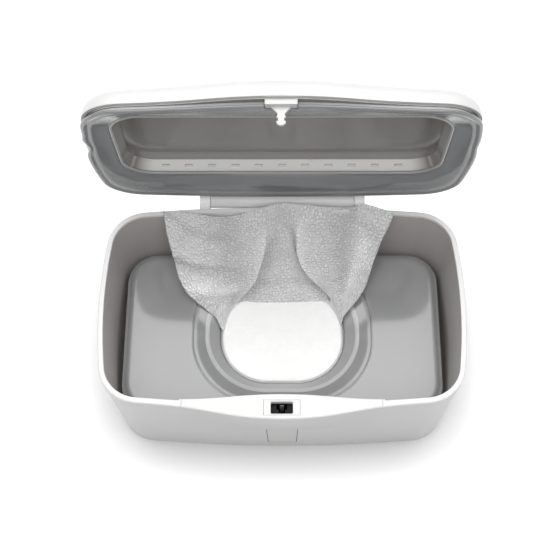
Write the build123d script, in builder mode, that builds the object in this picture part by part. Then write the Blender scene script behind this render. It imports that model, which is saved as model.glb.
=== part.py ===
from build123d import *
from math import asin, cos, pi, radians, sin, sqrt
import os

# Wipes dispenser: an open tub of folded wipes under a weighted plate, with a sprung lid that
# stands open, and a push button at the front that lets go of the lid's striker.
# Millimetres. +X is to the right, -Y is the front with the button, +Z is up.
# The origin is the centre of the flat base.

# Tub
TUB_LENGTH = 245.0
TUB_DEPTH = 147.6
TUB_HEIGHT = 94.0
CORNER_RADIUS = 27.3
CORNER_GROWTH = 3.0
SIDE_SAG = 2.8
FRONT_SAG = 3.9
WALL_LEAN = 5.6
RIM_WIDTH = 3.7
WALL_AT_FLOOR = 3.2
FLOOR_THICKNESS = 4.0
RIM_ROUNDING = 1.3
BASE_ROUNDING = 2.4

# Bulge of the front wall that holds the latch, and the ledge on its top
BULGE_DEPTH = 7.0
BULGE_HALF_WIDTH = 86.0
BULGE_FOOT_HALF_WIDTH = 30.0
BULGE_FOOT_HEIGHT = 44.0
LEDGE_STEP = 2.75
LEDGE_DEPTH = 3.45
LEDGE_HALF_WIDTH = 66.0
LEDGE_HEIGHT = 8.0
COVER_HALF_WIDTH = 64.5
COVER_THICKNESS = 2.4

# Latch window and its bezel
WINDOW_WIDTH = 14.2
WINDOW_DEPTH = 8.0
WINDOW_Y = -72.9
BEZEL_WIDTH = 23.2
BEZEL_DEPTH = 10.0
BEZEL_LIP = 1.6
BEZEL_LIP_THICKNESS = 1.5

# Latch chamber behind the front wall
CHAMBER_HALF_WIDTH = 12.0
CHAMBER_WALL = 4.4
CHAMBER_BACK_Y = -64.0
CHAMBER_COVER_THICKNESS = 1.8
CHAMBER_TOP = 86.0
CHAMBER_FLOOR_GAP = 2.0
PANEL_SCREW_INSET = 8.0
SCREW_RADIUS = 1.0
SCREW_LENGTH = 2.8
SCREW_HEAD_RADIUS = 1.9
SCREW_HEAD_HEIGHT = 1.0
FRONT_SKIN = 2.0

# Release button, its pivot and the forked catch
BUTTON_TOP_WIDTH = 20.8
BUTTON_FOOT_WIDTH = 19.2
BUTTON_FOOT_Z = 10.0
BUTTON_TOP_Z = 46.0
BUTTON_THICKNESS = 1.8
BUTTON_GAP = 0.35
BUTTON_CORNER = 2.2
PIVOT_Y = -67.4
PIVOT_Z = 50.0
PIVOT_PIN_RADIUS = 1.5
PIVOT_BLOCK_WIDTH = 16.0
PIVOT_BLOCK_DEPTH = 3.6
PIVOT_BLOCK_HEIGHT = 7.0
FORK_Z = 88.2
FORK_THICKNESS = 1.4
FORK_WIDTH = 14.0
FORK_FRONT_Y = -75.3
FORK_BACK_Y = -67.0
FORK_SLOT = 4.2
FORK_THROAT = 7.0
LEVER_WIDTH = 10.0
LEVER_THICKNESS = 1.6

# Hinge
HINGE_Y = 78.8
HINGE_Z = 93.0
KNUCKLE_RADIUS = 4.8
KNUCKLE_HALF_LENGTH = 49.6
KNUCKLE_SLOT_X = 25.5
KNUCKLE_SLOT_WIDTH = 3.0
KNUCKLE_SLOT_DROP = 1.6
EAR_WIDTH = 7.0
HINGE_PIN_RADIUS = 1.5
LID_OPEN_ANGLE = 80.0
SPRING_INNER_X = 24.0
SPRING_LENGTH = 20.0
SPRING_WIRE = 0.9
SPRING_COIL_RADIUS = 2.5
SPRING_BORE = 3.4
SPRING_PITCH = 3.6
BUTTON_SPRING_WIRE = 0.5
BUTTON_SPRING_COIL = 2.0
BUTTON_SPRING_PITCH = 1.0

# Lid, measured with the lid closed
SKIRT_LIFT = 5.8
SHELL_GROWTH = 0.3
SHELL_LEAN = 2.4
SHELL_WALL = 2.2
CROWN_LIFT = 19.5
CROWN_RADIUS = 3000.0
SHELL_ROUNDING = 8.0
GASKET_LIFT = 0.3
GASKET_THICKNESS = 2.1
GASKET_GROWTH = 0.6
GASKET_BULGE = 3.4
GASKET_LIP = 5.7
GASKET_EDGE = 0.8
NECK_INSET = 3.2
NECK_WALL = 1.6
DECK_LIFT = 5.0
DECK_THICKNESS = 1.5
DECK_GAP = 0.4
MOUTH_LENGTH = 209.0
MOUTH_FRONT_Y = -55.5
MOUTH_BACK_Y = 39.6
MOUTH_CORNER = 22.0
TRAY_LIFT = 12.9
TRAY_DRAFT = 4.2
TRAY_WALL = 1.5
SLOT_COUNT = 11
SLOT_PITCH = 15.4
SLOT_WIDTH = 5.2
SLOT_HEIGHT = 2.4
SLOT_SINK = 0.35

# Striker
STRIKER_Y = -73.8
STRIKER_THICKNESS = 1.8
STRIKER_BRACKET_HALF = 9.4
STRIKER_TIP_DROP = 9.6
STRIKER_PEG_X = 6.0
STRIKER_PEG_Y = -75.6
STRIKER_PEG_RADIUS = 1.2
BRACKET_LIFT = 1.8
BRACKET_FRONT_Y = -78.3
# Right half of the tongue, from the bracket down: half width, and drop below the rim
STRIKER_HALF_OUTLINE = [
    (8.2, -5.0),
    (8.2, -3.9),
    (4.9, -0.8),
    (2.1, 2.2),
    (2.1, 3.4),
    (2.7, 4.1),
    (2.7, 4.6),
    (1.8, 4.9),
    (1.8, 6.8),
    (2.8, 7.0),
]

# Weighted plate
PLATE_LENGTH = 221.0
PLATE_DEPTH = 121.0
PLATE_CORNER = 22.0
PLATE_ROUNDING = 6.0
PLATE_TOP_Z = 50.0
PLATE_SKIN = 2.0
PLATE_WALL = 2.4
FUNNEL_LENGTH = 124.4
FUNNEL_DEPTH = 108.0
FUNNEL_CORNER = 47.0
STEP_LENGTH = 106.0
STEP_DEPTH = 87.6
STEP_CORNER = 42.0
STEP_Z = 46.0
STEP_LEDGE = 2.0
MOUTHPIECE_LENGTH = 86.3
MOUTHPIECE_DEPTH = 70.6
MOUTHPIECE_CORNER = 33.0
MOUTHPIECE_HEIGHT = 1.2
WEIGHT_THICKNESS = 3.0
WEIGHT_GAP = 0.6
PLATE_BASE_THICKNESS = 1.6
BASE_HOLE_GAP = 3.2

# Wipes
STACK_LENGTH = 200.0
STACK_DEPTH = 108.0
STACK_TOP_Z = 38.0
STACK_CORNER = 9.0
STACK_ROUNDING = 5.0
STACK_MOUND = 2.6
MOUND_LENGTH = 64.0
MOUND_DEPTH = 52.0
MOUND_CORNER = 24.0
SEAT_GAP = 0.3
WIPE_THICKNESS = 1.2
# Levels of the pulled wipe: height, then where its folds meet from left to right (x, y)
WIPE_LEVELS = [
    (38.15, (-38.5, 6), (-36.5, 15), (-35, 17.5), (-32.5, 21), (-30, 24.5),
     (30, 24.5), (32.5, 21), (35, 17.5), (36.5, 15), (39, 8)),
    (41.0, (-40.5, 8), (-36, 18.5), (-34.3, 21), (-31.4, 24.3), (-28.9, 27.8),
     (29, 28), (31.4, 24.5), (34, 21.5), (35.5, 19.5), (41, 10)),
    (44.0, (-44.5, 11), (-36.5, 23), (-34.5, 25.5), (-31, 28.5), (-28.5, 32),
     (29, 32.5), (31.5, 29), (33.5, 26.5), (35, 24.5), (44, 13)),
    (52.0, (-54.5, 23.5), (-37, 33), (-34, 37), (-26, 38.5), (-22.5, 42.5),
     (19, 43), (22.5, 39.5), (33.5, 37.5), (36, 35.5), (51, 25.5)),
    (64.0, (-67, 36.5), (-54, 43), (-50.5, 46), (-19, 49.5), (-15.5, 53),
     (9, 53.5), (12.5, 50.5), (38, 49.5), (41, 48.5), (58.5, 37.5)),
    (80.0, (-76.5, 51.5), (-62, 55), (-58, 56), (-22, 59.5), (-14, 61.5),
     (7, 62.5), (14, 61), (42, 60.5), (48, 60), (67.5, 52)),
    (90.0, (-80.5, 62.0), (-62.5, 64), (-58, 64.2), (-33, 65.4), (-23, 66),
     (18, 66.6), (26, 66.4), (45, 65.6), (53, 65.2), (73.5, 62.3)),
    (94.4, (-82, 64.3), (-63, 65.4), (-58, 65.6), (-34, 66.6), (-24, 67.0),
     (20, 67.3), (28, 66.9), (45, 66.2), (54, 65.7), (75.5, 64.0)),
    (97.5, (-83, 67.2), (-63, 65.6), (-57, 65.5), (-39, 66.2), (-27, 70),
     (21, 71.3), (29, 70.8), (46, 71.2), (56, 71.4), (77, 67.5)),
]
# How far the outer flap, the inner facet and the middle panel swell back at each level
WIPE_SWELLS = [
    (0.8, 0.3, 5.5),
    (0.2, 0.3, 4.2),
    (-0.9, 0.3, 3.0),
    (-2.4, -0.8, 1.5),
    (-2.5, -1.7, 1.0),
    (-2.0, -1.6, 0.8),
    (-1.0, -0.8, 0.3),
    (-0.5, -0.5, 0.2),
    (-0.8, -0.5, 1.6),
]

# Feet and clearances
FOOT_RADIUS = 8.0
FOOT_THICKNESS = 2.0
FOOT_INSET_X = 27.0
FOOT_INSET_Y = 24.0
FIT_GAP = 0.15
PIN_GAP = 0.05

os.makedirs("parts", exist_ok=True)

half_length = TUB_LENGTH / 2
half_depth = TUB_DEPTH / 2
lean_per_height = WALL_LEAN / TUB_HEIGHT
base_wall_inset = WALL_LEAN + WALL_AT_FLOOR
cover_z = TUB_HEIGHT - COVER_THICKNESS
past_front_y = -(half_depth + 2 * BULGE_DEPTH)


def bulge_shape(x, half_width):
    """Height of a smooth bump at x, from 1 in its middle to 0 at its half width."""
    share = min(abs(x) / half_width, 1.0)
    if share < 0.5:
        return 1 - 2 * share**2
    return 2 * (1 - share) ** 2


def plan_face(plane, inset, bulge=0.0, bulge_width=BULGE_HALF_WIDTH, softening=0.0):
    """Face inside the tub's plan outline, drawn in from the rim by inset.

    Its front may be bulged, and its corners rounder by softening.
    """
    corner = CORNER_RADIUS - inset + softening
    corner_x = half_length - CORNER_RADIUS - SIDE_SAG - softening
    corner_y = half_depth - CORNER_RADIUS - FRONT_SAG - softening
    side_turn = asin(corner_y / ((corner_y**2 + SIDE_SAG**2) / (2 * SIDE_SAG)))
    front_radius = (corner_x**2 + FRONT_SAG**2) / (2 * FRONT_SAG) + corner
    front_turn = asin(corner_x / (front_radius - corner))
    side_end = (corner_x + corner * cos(side_turn), corner_y + corner * sin(side_turn))
    front_end = (corner_x + corner * sin(front_turn), corner_y + corner * cos(front_turn))
    middle_turn = (side_turn + pi / 2 - front_turn) / 2
    corner_middle = (corner_x + corner * cos(middle_turn), corner_y + corner * sin(middle_turn))
    reach_x = half_length - inset
    reach_y = half_depth - inset
    front_points = []
    for step in range(-6, 7):
        x = front_end[0] * step / 6
        arc_y = sqrt(front_radius**2 - x**2) - front_radius + reach_y
        front_points.append((x, -arc_y - bulge * bulge_shape(x, bulge_width)))
    with BuildSketch(plane) as face:
        with BuildLine():
            Spline(
                front_points,
                tangents=[(cos(front_turn), -sin(front_turn)), (cos(front_turn), sin(front_turn))],
            )
            ThreePointArc(
                (front_end[0], -front_end[1]),
                (corner_middle[0], -corner_middle[1]),
                (side_end[0], -side_end[1]),
            )
            ThreePointArc((side_end[0], -side_end[1]), (reach_x, 0), side_end)
            ThreePointArc(side_end, corner_middle, front_end)
            ThreePointArc(front_end, (0, reach_y), (-front_end[0], front_end[1]))
            ThreePointArc(
                (-front_end[0], front_end[1]),
                (-corner_middle[0], corner_middle[1]),
                (-side_end[0], side_end[1]),
            )
            ThreePointArc(
                (-side_end[0], side_end[1]), (-reach_x, 0), (-side_end[0], -side_end[1])
            )
            ThreePointArc(
                (-side_end[0], -side_end[1]),
                (-corner_middle[0], -corner_middle[1]),
                (-front_end[0], -front_end[1]),
            )
        make_face()
    return face.sketch


def ledge_face(height, half_width, outer_y, clearance=0.0):
    """Face over the front ledge, from its wavy inner edge out to outer_y."""
    inner_y = -(half_depth - RIM_WIDTH)
    edge = []
    for step in range(-6, 7):
        x = half_width * step / 6
        wave = LEDGE_STEP + LEDGE_DEPTH * bulge_shape(x, LEDGE_HALF_WIDTH)
        edge.append((x, inner_y + clearance + wave))
    with BuildSketch(Plane.XY.offset(height)) as face:
        with BuildLine():
            Spline(edge)
            Polyline(edge[-1], (half_width, outer_y), (-half_width, outer_y), edge[0])
        make_face()
    return face.sketch


def wall_y(height):
    """Outer face of the plain front wall at the middle, at this height."""
    return -(half_depth - lean_per_height * (TUB_HEIGHT - height))


def bulge_at(height):
    """Depth and half width of the latch bulge at this height."""
    rise = (height - BULGE_FOOT_HEIGHT) / (TUB_HEIGHT - BULGE_FOOT_HEIGHT)
    spread = BULGE_FOOT_HALF_WIDTH + (BULGE_HALF_WIDTH - BULGE_FOOT_HALF_WIDTH) * sqrt(rise)
    return BULGE_DEPTH * sin(rise * pi / 2), spread


def outer_section(height, bulge=0.0, bulge_width=BULGE_HALF_WIDTH):
    """Outer outline of the tub at this height: it leans in and its corners grow rounder below."""
    drop = TUB_HEIGHT - height
    return plan_face(
        Plane.XY.offset(height),
        lean_per_height * drop,
        bulge,
        bulge_width,
        CORNER_GROWTH * drop / TUB_HEIGHT,
    )


# Outer form of the tub: a plain leaning wall below, the latch bulge above
bulge_steps = 4
with BuildPart() as outer_form:
    loft(sections=[outer_section(0.0), outer_section(BULGE_FOOT_HEIGHT)], ruled=True)
    upper_sections = []
    for step in range(bulge_steps + 1):
        height = BULGE_FOOT_HEIGHT + (TUB_HEIGHT - BULGE_FOOT_HEIGHT) * step / bulge_steps
        depth, spread = bulge_at(height)
        upper_sections.append(outer_section(height, depth, spread))
    loft(sections=upper_sections)
    fillet(outer_form.faces().sort_by(Axis.Z)[-1].edges(), radius=RIM_ROUNDING)
    fillet(outer_form.faces().sort_by(Axis.Z)[0].edges(), radius=BASE_ROUNDING)


# Inner form of the tub: the space that the wipes and the plate lie in
with BuildPart() as inner_form:
    inner_foot_inset = base_wall_inset - lean_per_height * FLOOR_THICKNESS
    loft(
        sections=[
            plan_face(
                Plane.XY.offset(FLOOR_THICKNESS), inner_foot_inset, softening=CORNER_GROWTH / 2
            ),
            plan_face(Plane.XY.offset(TUB_HEIGHT), RIM_WIDTH),
        ],
        ruled=True,
    )
    fillet(inner_form.faces().sort_by(Axis.Z)[0].edges(), radius=BASE_ROUNDING)

# Latch chamber: its side view, from the tub's floor up to the cover
chamber_foot = FLOOR_THICKNESS + CHAMBER_FLOOR_GAP
ledge_back_y = -(half_depth - RIM_WIDTH) + LEDGE_STEP + LEDGE_DEPTH - FRONT_SKIN
side_plane = Plane.YZ.offset(-CHAMBER_HALF_WIDTH)
foot_feet_x = half_length - WALL_LEAN - FOOT_INSET_X
foot_feet_y = half_depth - WALL_LEAN - FOOT_INSET_Y
foot_places = [(x, y) for x in (-foot_feet_x, foot_feet_x) for y in (-foot_feet_y, foot_feet_y)]
ear_inner_x = KNUCKLE_HALF_LENGTH + SEAT_GAP
panel_screw_x = CHAMBER_HALF_WIDTH + CHAMBER_WALL / 2
panel_screws = [
    (x, z)
    for x in (-panel_screw_x, panel_screw_x)
    for z in (FLOOR_THICKNESS + PANEL_SCREW_INSET, CHAMBER_TOP - PANEL_SCREW_INSET)
]
panel_plane = Plane.XZ.offset(-CHAMBER_BACK_Y)


def button_face(grow):
    """Outline of the release button on the front, grown by a gap all round."""
    top_half = BUTTON_TOP_WIDTH / 2 + grow
    foot_half = BUTTON_FOOT_WIDTH / 2 + grow
    with BuildSketch(Plane.XZ) as face:
        with BuildLine():
            Polyline(
                (-top_half, BUTTON_TOP_Z + grow),
                (top_half, BUTTON_TOP_Z + grow),
                (foot_half, BUTTON_FOOT_Z - grow),
                (-foot_half, BUTTON_FOOT_Z - grow),
                close=True,
            )
        make_face()
        fillet(face.vertices().group_by(Axis.Z)[0], radius=BUTTON_CORNER + grow)
    return face.sketch


# Tub
with BuildPart() as tub:
    add(outer_form.part)
    add(inner_form.part, mode=Mode.SUBTRACT)
    # Ledge behind the bulge, and the side walls of the latch chamber
    in_wall_y = -(half_depth - WALL_AT_FLOOR)
    extrude(
        ledge_face(TUB_HEIGHT - LEDGE_HEIGHT, LEDGE_HALF_WIDTH, in_wall_y), amount=LEDGE_HEIGHT
    )
    with BuildSketch(Plane.XY.offset(FLOOR_THICKNESS)) as block_plan:
        with Locations((0, (wall_y(0) + CHAMBER_BACK_Y) / 2)):
            Rectangle(2 * (CHAMBER_HALF_WIDTH + CHAMBER_WALL), CHAMBER_BACK_Y - wall_y(0))
    extrude(amount=TUB_HEIGHT - RIM_ROUNDING - FLOOR_THICKNESS)
    # Chamber for the latch, open behind to its own cover and above to the ledge cover
    with BuildSketch(side_plane) as chamber_side:
        with BuildLine():
            Polyline(
                (CHAMBER_BACK_Y + 1, chamber_foot),
                (wall_y(chamber_foot) + FRONT_SKIN, chamber_foot),
                (wall_y(BULGE_FOOT_HEIGHT) + FRONT_SKIN, BULGE_FOOT_HEIGHT),
                (wall_y(60.0) - bulge_at(60.0)[0] + FRONT_SKIN, 60.0),
                (wall_y(cover_z) - bulge_at(cover_z)[0] + FRONT_SKIN, cover_z),
                (wall_y(cover_z) - bulge_at(cover_z)[0] + FRONT_SKIN, TUB_HEIGHT),
                (ledge_back_y, TUB_HEIGHT),
                (ledge_back_y, CHAMBER_TOP),
                (CHAMBER_BACK_Y + 1, CHAMBER_TOP),
                close=True,
            )
        make_face()
    extrude(amount=2 * CHAMBER_HALF_WIDTH, mode=Mode.SUBTRACT)
    # Seat of the ledge cover
    extrude(
        ledge_face(cover_z, COVER_HALF_WIDTH + FIT_GAP, past_front_y, FIT_GAP),
        amount=COVER_THICKNESS,
        mode=Mode.SUBTRACT,
    )
    # Window for the release button
    extrude(button_face(BUTTON_GAP), amount=TUB_DEPTH, mode=Mode.SUBTRACT)
    # Holes for the button's pivot pin
    with BuildSketch(Plane.YZ.offset(-CHAMBER_HALF_WIDTH - CHAMBER_WALL)) as pivot_hole:
        with Locations((PIVOT_Y, PIVOT_Z)):
            Circle(PIVOT_PIN_RADIUS + PIN_GAP)
    extrude(amount=2 * (CHAMBER_HALF_WIDTH + CHAMBER_WALL), mode=Mode.SUBTRACT)
    # Holes for the screws of the chamber's panel
    with BuildSketch(panel_plane) as panel_screw_holes:
        with Locations(*panel_screws):
            Circle(SCREW_RADIUS)
    extrude(amount=SCREW_LENGTH, mode=Mode.SUBTRACT)
    # Pockets for the feet
    with BuildSketch() as foot_pockets:
        with Locations(*foot_places):
            Circle(FOOT_RADIUS + FIT_GAP)
    extrude(amount=FOOT_THICKNESS, mode=Mode.SUBTRACT)
    # Hinge ears on the back wall
    for side in (-1, 1):
        ear_start = ear_inner_x if side > 0 else -ear_inner_x - EAR_WIDTH
        with BuildSketch(Plane.YZ.offset(ear_start)) as ear:
            with Locations((HINGE_Y, HINGE_Z)):
                Circle(KNUCKLE_RADIUS)
            with BuildLine():
                Polyline(
                    (half_depth - RIM_WIDTH / 2, HINGE_Z),
                    (HINGE_Y, HINGE_Z),
                    (HINGE_Y + KNUCKLE_RADIUS * cos(pi / 4), HINGE_Z - KNUCKLE_RADIUS * sin(pi / 4)),
                    (half_depth - RIM_WIDTH / 2, HINGE_Z - 4 * KNUCKLE_RADIUS),
                    close=True,
                )
            make_face()
            with Locations((HINGE_Y, HINGE_Z)):
                Circle(HINGE_PIN_RADIUS + PIN_GAP, mode=Mode.SUBTRACT)
        extrude(amount=EAR_WIDTH)
tub.part.label = "tub"
export_step(tub.part, "parts/tub.step")
print("tub", tub.part.volume, tub.part.is_valid, len(tub.solids()))

# Cover over the front ledge, with the hole for the bezel
with BuildPart() as latch_cover:
    extrude(ledge_face(cover_z, COVER_HALF_WIDTH, past_front_y), amount=COVER_THICKNESS)
    add(outer_form.part, mode=Mode.INTERSECT)
    with BuildSketch(Plane.XY.offset(cover_z)) as bezel_hole:
        with Locations((0, WINDOW_Y)):
            Rectangle(BEZEL_WIDTH + 2 * FIT_GAP, BEZEL_DEPTH + 2 * FIT_GAP)
    extrude(amount=COVER_THICKNESS, mode=Mode.SUBTRACT)
latch_cover.part.label = "latch_cover"
export_step(latch_cover.part, "parts/latch_cover.step")

# Bezel around the latch window, clipped under the cover by its lip
with BuildPart() as latch_bezel:
    with BuildSketch(Plane.XY.offset(cover_z - BEZEL_LIP_THICKNESS)) as bezel_lip:
        with Locations((0, WINDOW_Y)):
            Rectangle(BEZEL_WIDTH - 2 * BEZEL_LIP, BEZEL_DEPTH)
    extrude(amount=BEZEL_LIP_THICKNESS)
    with BuildSketch(Plane.XY.offset(cover_z)) as bezel_ring:
        with Locations((0, WINDOW_Y)):
            Rectangle(BEZEL_WIDTH, BEZEL_DEPTH)
    extrude(amount=COVER_THICKNESS)
    with BuildSketch(Plane.XY.offset(cover_z - BEZEL_LIP_THICKNESS)) as window:
        with Locations((0, WINDOW_Y)):
            RectangleRounded(WINDOW_WIDTH, WINDOW_DEPTH, 0.8)
    extrude(amount=COVER_THICKNESS + BEZEL_LIP_THICKNESS, mode=Mode.SUBTRACT)
    chamfer(latch_bezel.faces().sort_by(Axis.Z)[-1].inner_wires().edges(), length=0.5)
latch_bezel.part.label = "latch_bezel"
export_step(latch_bezel.part, "parts/latch_bezel.step")

# Release button: the face on the front wall, and the block that turns on the pivot pin
block_foot_z = PIVOT_Z - PIVOT_BLOCK_HEIGHT / 2
block_front_y = PIVOT_Y - PIVOT_BLOCK_DEPTH / 2
button_middle_y = wall_y(BUTTON_TOP_Z) + BUTTON_THICKNESS / 2
with BuildPart() as release_button:
    with BuildSketch(Plane.YZ.offset(-BUTTON_TOP_WIDTH / 2)) as button_side:
        with BuildLine():
            Polyline(
                (wall_y(BUTTON_FOOT_Z), BUTTON_FOOT_Z),
                (wall_y(BUTTON_FOOT_Z) + BUTTON_THICKNESS, BUTTON_FOOT_Z),
                (wall_y(BUTTON_TOP_Z) + BUTTON_THICKNESS, BUTTON_TOP_Z),
                (wall_y(BUTTON_TOP_Z), BUTTON_TOP_Z),
                close=True,
            )
        make_face()
    extrude(amount=BUTTON_TOP_WIDTH)
    extrude(button_face(0), amount=TUB_DEPTH, mode=Mode.INTERSECT)
    with BuildSketch(Plane.YZ.offset(-PIVOT_BLOCK_WIDTH / 2)) as pivot_block:
        with Locations((PIVOT_Y, PIVOT_Z)):
            Rectangle(PIVOT_BLOCK_DEPTH, PIVOT_BLOCK_HEIGHT)
        with BuildLine():
            Polyline(
                (button_middle_y, BUTTON_TOP_Z - BUTTON_THICKNESS),
                (block_front_y, block_foot_z),
                (PIVOT_Y + PIVOT_BLOCK_DEPTH / 2, block_foot_z),
                (button_middle_y, block_foot_z - PIVOT_BLOCK_HEIGHT),
                close=True,
            )
        make_face()
        with Locations((PIVOT_Y, PIVOT_Z)):
            Circle(PIVOT_PIN_RADIUS + PIN_GAP, mode=Mode.SUBTRACT)
    extrude(amount=PIVOT_BLOCK_WIDTH)
release_button.part.label = "release_button"
export_step(release_button.part, "parts/release_button.step")

# Catch lever: a post on the pivot block with a fork at its top for the striker
lever_foot_z = PIVOT_Z + PIVOT_BLOCK_HEIGHT / 2
with BuildPart() as catch_lever:
    with BuildSketch(Plane.XY.offset(lever_foot_z)) as lever_foot:
        with Locations((0, PIVOT_Y)):
            Rectangle(LEVER_WIDTH, PIVOT_BLOCK_DEPTH)
    extrude(amount=2 * LEVER_THICKNESS)
    with BuildSketch(Plane.XY.offset(lever_foot_z)) as lever_post:
        with Locations((0, FORK_BACK_Y - LEVER_THICKNESS / 2)):
            Rectangle(LEVER_WIDTH, LEVER_THICKNESS)
    extrude(amount=FORK_Z - lever_foot_z)
    with BuildSketch(Plane.XY.offset(FORK_Z - FORK_THICKNESS / 2)) as fork:
        with Locations((0, (FORK_FRONT_Y + FORK_BACK_Y) / 2)):
            Rectangle(FORK_WIDTH, FORK_BACK_Y - FORK_FRONT_Y)
        slot_back_y = STRIKER_Y + STRIKER_THICKNESS / 2 + SEAT_GAP
        with Locations((0, (FORK_FRONT_Y + slot_back_y) / 2)):
            Rectangle(FORK_SLOT, slot_back_y - FORK_FRONT_Y, mode=Mode.SUBTRACT)
        throat_depth = FORK_BACK_Y - LEVER_THICKNESS - slot_back_y
        with Locations((0, slot_back_y + throat_depth / 2)):
            Rectangle(FORK_THROAT, throat_depth, mode=Mode.SUBTRACT)
    extrude(amount=FORK_THICKNESS)
catch_lever.part.label = "catch_lever"
export_step(catch_lever.part, "parts/catch_lever.step")

# Pin that the button turns on
with BuildPart() as button_pin:
    pin_length = 2 * (CHAMBER_HALF_WIDTH + CHAMBER_WALL)
    with BuildSketch(Plane.YZ.offset(-pin_length / 2)) as button_pin_end:
        with Locations((PIVOT_Y, PIVOT_Z)):
            Circle(PIVOT_PIN_RADIUS)
    extrude(amount=pin_length)
button_pin.part.label = "button_pin"
export_step(button_pin.part, "parts/button_pin.step")

# Panel that closes the latch chamber from inside the tub
panel_foot = FLOOR_THICKNESS + FIT_GAP
panel_height = CHAMBER_TOP - FIT_GAP - panel_foot
with BuildPart() as chamber_panel:
    with BuildSketch(panel_plane) as panel_plan:
        with Locations((0, panel_foot + panel_height / 2)):
            Rectangle(2 * (CHAMBER_HALF_WIDTH + CHAMBER_WALL), panel_height)
        with Locations(*panel_screws):
            Circle(SCREW_RADIUS + PIN_GAP, mode=Mode.SUBTRACT)
    extrude(amount=-CHAMBER_COVER_THICKNESS)
    with BuildSketch(panel_plane.offset(-CHAMBER_COVER_THICKNESS)) as head_seats:
        with Locations(*panel_screws):
            Circle(SCREW_HEAD_RADIUS + FIT_GAP)
    extrude(amount=SCREW_HEAD_HEIGHT, mode=Mode.SUBTRACT)
chamber_panel.part.label = "chamber_panel"
export_step(chamber_panel.part, "parts/chamber_panel.step")

# Screws of that panel
with BuildPart() as panel_screw_set:
    with BuildSketch(panel_plane.offset(SCREW_LENGTH)) as shanks:
        with Locations(*panel_screws):
            Circle(SCREW_RADIUS)
    extrude(amount=-(SCREW_LENGTH + CHAMBER_COVER_THICKNESS - SCREW_HEAD_HEIGHT / 2))
    with BuildSketch(panel_plane.offset(-CHAMBER_COVER_THICKNESS + SCREW_HEAD_HEIGHT)) as heads:
        with Locations(*panel_screws):
            Circle(SCREW_HEAD_RADIUS)
    extrude(amount=-SCREW_HEAD_HEIGHT)
panel_screw_set.part.label = "panel_screws"
export_step(panel_screw_set.part, "parts/panel_screws.step")


def coil(start_x, length, pivot, radius, wire, pitch):
    """Coil of round wire around a pivot that runs along X."""
    start = (start_x, pivot[0], pivot[1])
    with BuildPart() as spring:
        with BuildLine() as path:
            Helix(pitch=pitch, height=length, radius=radius, center=start, direction=(1, 0, 0))
        with BuildSketch(Plane(origin=path.line @ 0, z_dir=path.line % 0)):
            Circle(wire / 2)
        sweep(path=path.line, is_frenet=True)
    return spring.part


# Spring that brings the button back, wound around its pin
button_spring = coil(
    PIVOT_BLOCK_WIDTH / 2 + SEAT_GAP + BUTTON_SPRING_WIRE / 2,
    CHAMBER_HALF_WIDTH - PIVOT_BLOCK_WIDTH / 2 - 2 * SEAT_GAP - BUTTON_SPRING_WIRE,
    (PIVOT_Y, PIVOT_Z),
    BUTTON_SPRING_COIL,
    BUTTON_SPRING_WIRE,
    BUTTON_SPRING_PITCH,
)
button_spring.label = "button_spring"
export_step(button_spring, "parts/button_spring.step")

# Springs that raise the lid, wound around the hinge pin inside the knuckle
for side_name, spring_x in (("left", -SPRING_INNER_X - SPRING_LENGTH), ("right", SPRING_INNER_X)):
    lid_spring = coil(
        spring_x + SPRING_WIRE,
        SPRING_LENGTH - 2 * SPRING_WIRE,
        (HINGE_Y, HINGE_Z),
        SPRING_COIL_RADIUS,
        SPRING_WIRE,
        SPRING_PITCH,
    )
    lid_spring.label = f"lid_spring_{side_name}"
    export_step(lid_spring, f"parts/lid_spring_{side_name}.step")

# Hinge pin through the ears and the knuckle
with BuildPart() as hinge_pin:
    hinge_pin_length = 2 * (ear_inner_x + EAR_WIDTH)
    with BuildSketch(Plane.YZ.offset(-hinge_pin_length / 2)) as hinge_pin_end:
        with Locations((HINGE_Y, HINGE_Z)):
            Circle(HINGE_PIN_RADIUS)
    extrude(amount=hinge_pin_length)
hinge_pin.part.label = "hinge_pin"
export_step(hinge_pin.part, "parts/hinge_pin.step")

# Feet under the base
with BuildPart() as feet:
    with BuildSketch() as foot_rounds:
        with Locations(*foot_places):
            Circle(FOOT_RADIUS)
    extrude(amount=FOOT_THICKNESS)
feet.part.label = "feet"
export_step(feet.part, "parts/feet.step")

# The lid's own frame. Its coordinates are those of the closed lid, and it stands open.
open_turn = radians(LID_OPEN_ANGLE)
lid_frame = Plane(
    origin=(
        0,
        HINGE_Y - HINGE_Y * cos(open_turn) - HINGE_Z * sin(open_turn),
        HINGE_Z + HINGE_Y * sin(open_turn) - HINGE_Z * cos(open_turn),
    ),
    x_dir=(1, 0, 0),
    z_dir=(0, sin(open_turn), cos(open_turn)),
)


def lid_level(lift):
    """Plane at this height above the rim, in the lid's frame."""
    return lid_frame.offset(TUB_HEIGHT + lift)


def lid_side(x):
    """Side plane of the lid at x, where its first axis is the lid's Y and its second the lid's Z."""
    return Plane(
        origin=lid_frame.from_local_coords((x, 0, 0)), x_dir=lid_frame.y_dir, z_dir=lid_frame.x_dir
    )


def lid_front(y):
    """Front plane of the lid at y, facing forwards."""
    return Plane(
        origin=lid_frame.from_local_coords((0, y, 0)), x_dir=lid_frame.x_dir, z_dir=-lid_frame.y_dir
    )


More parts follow.
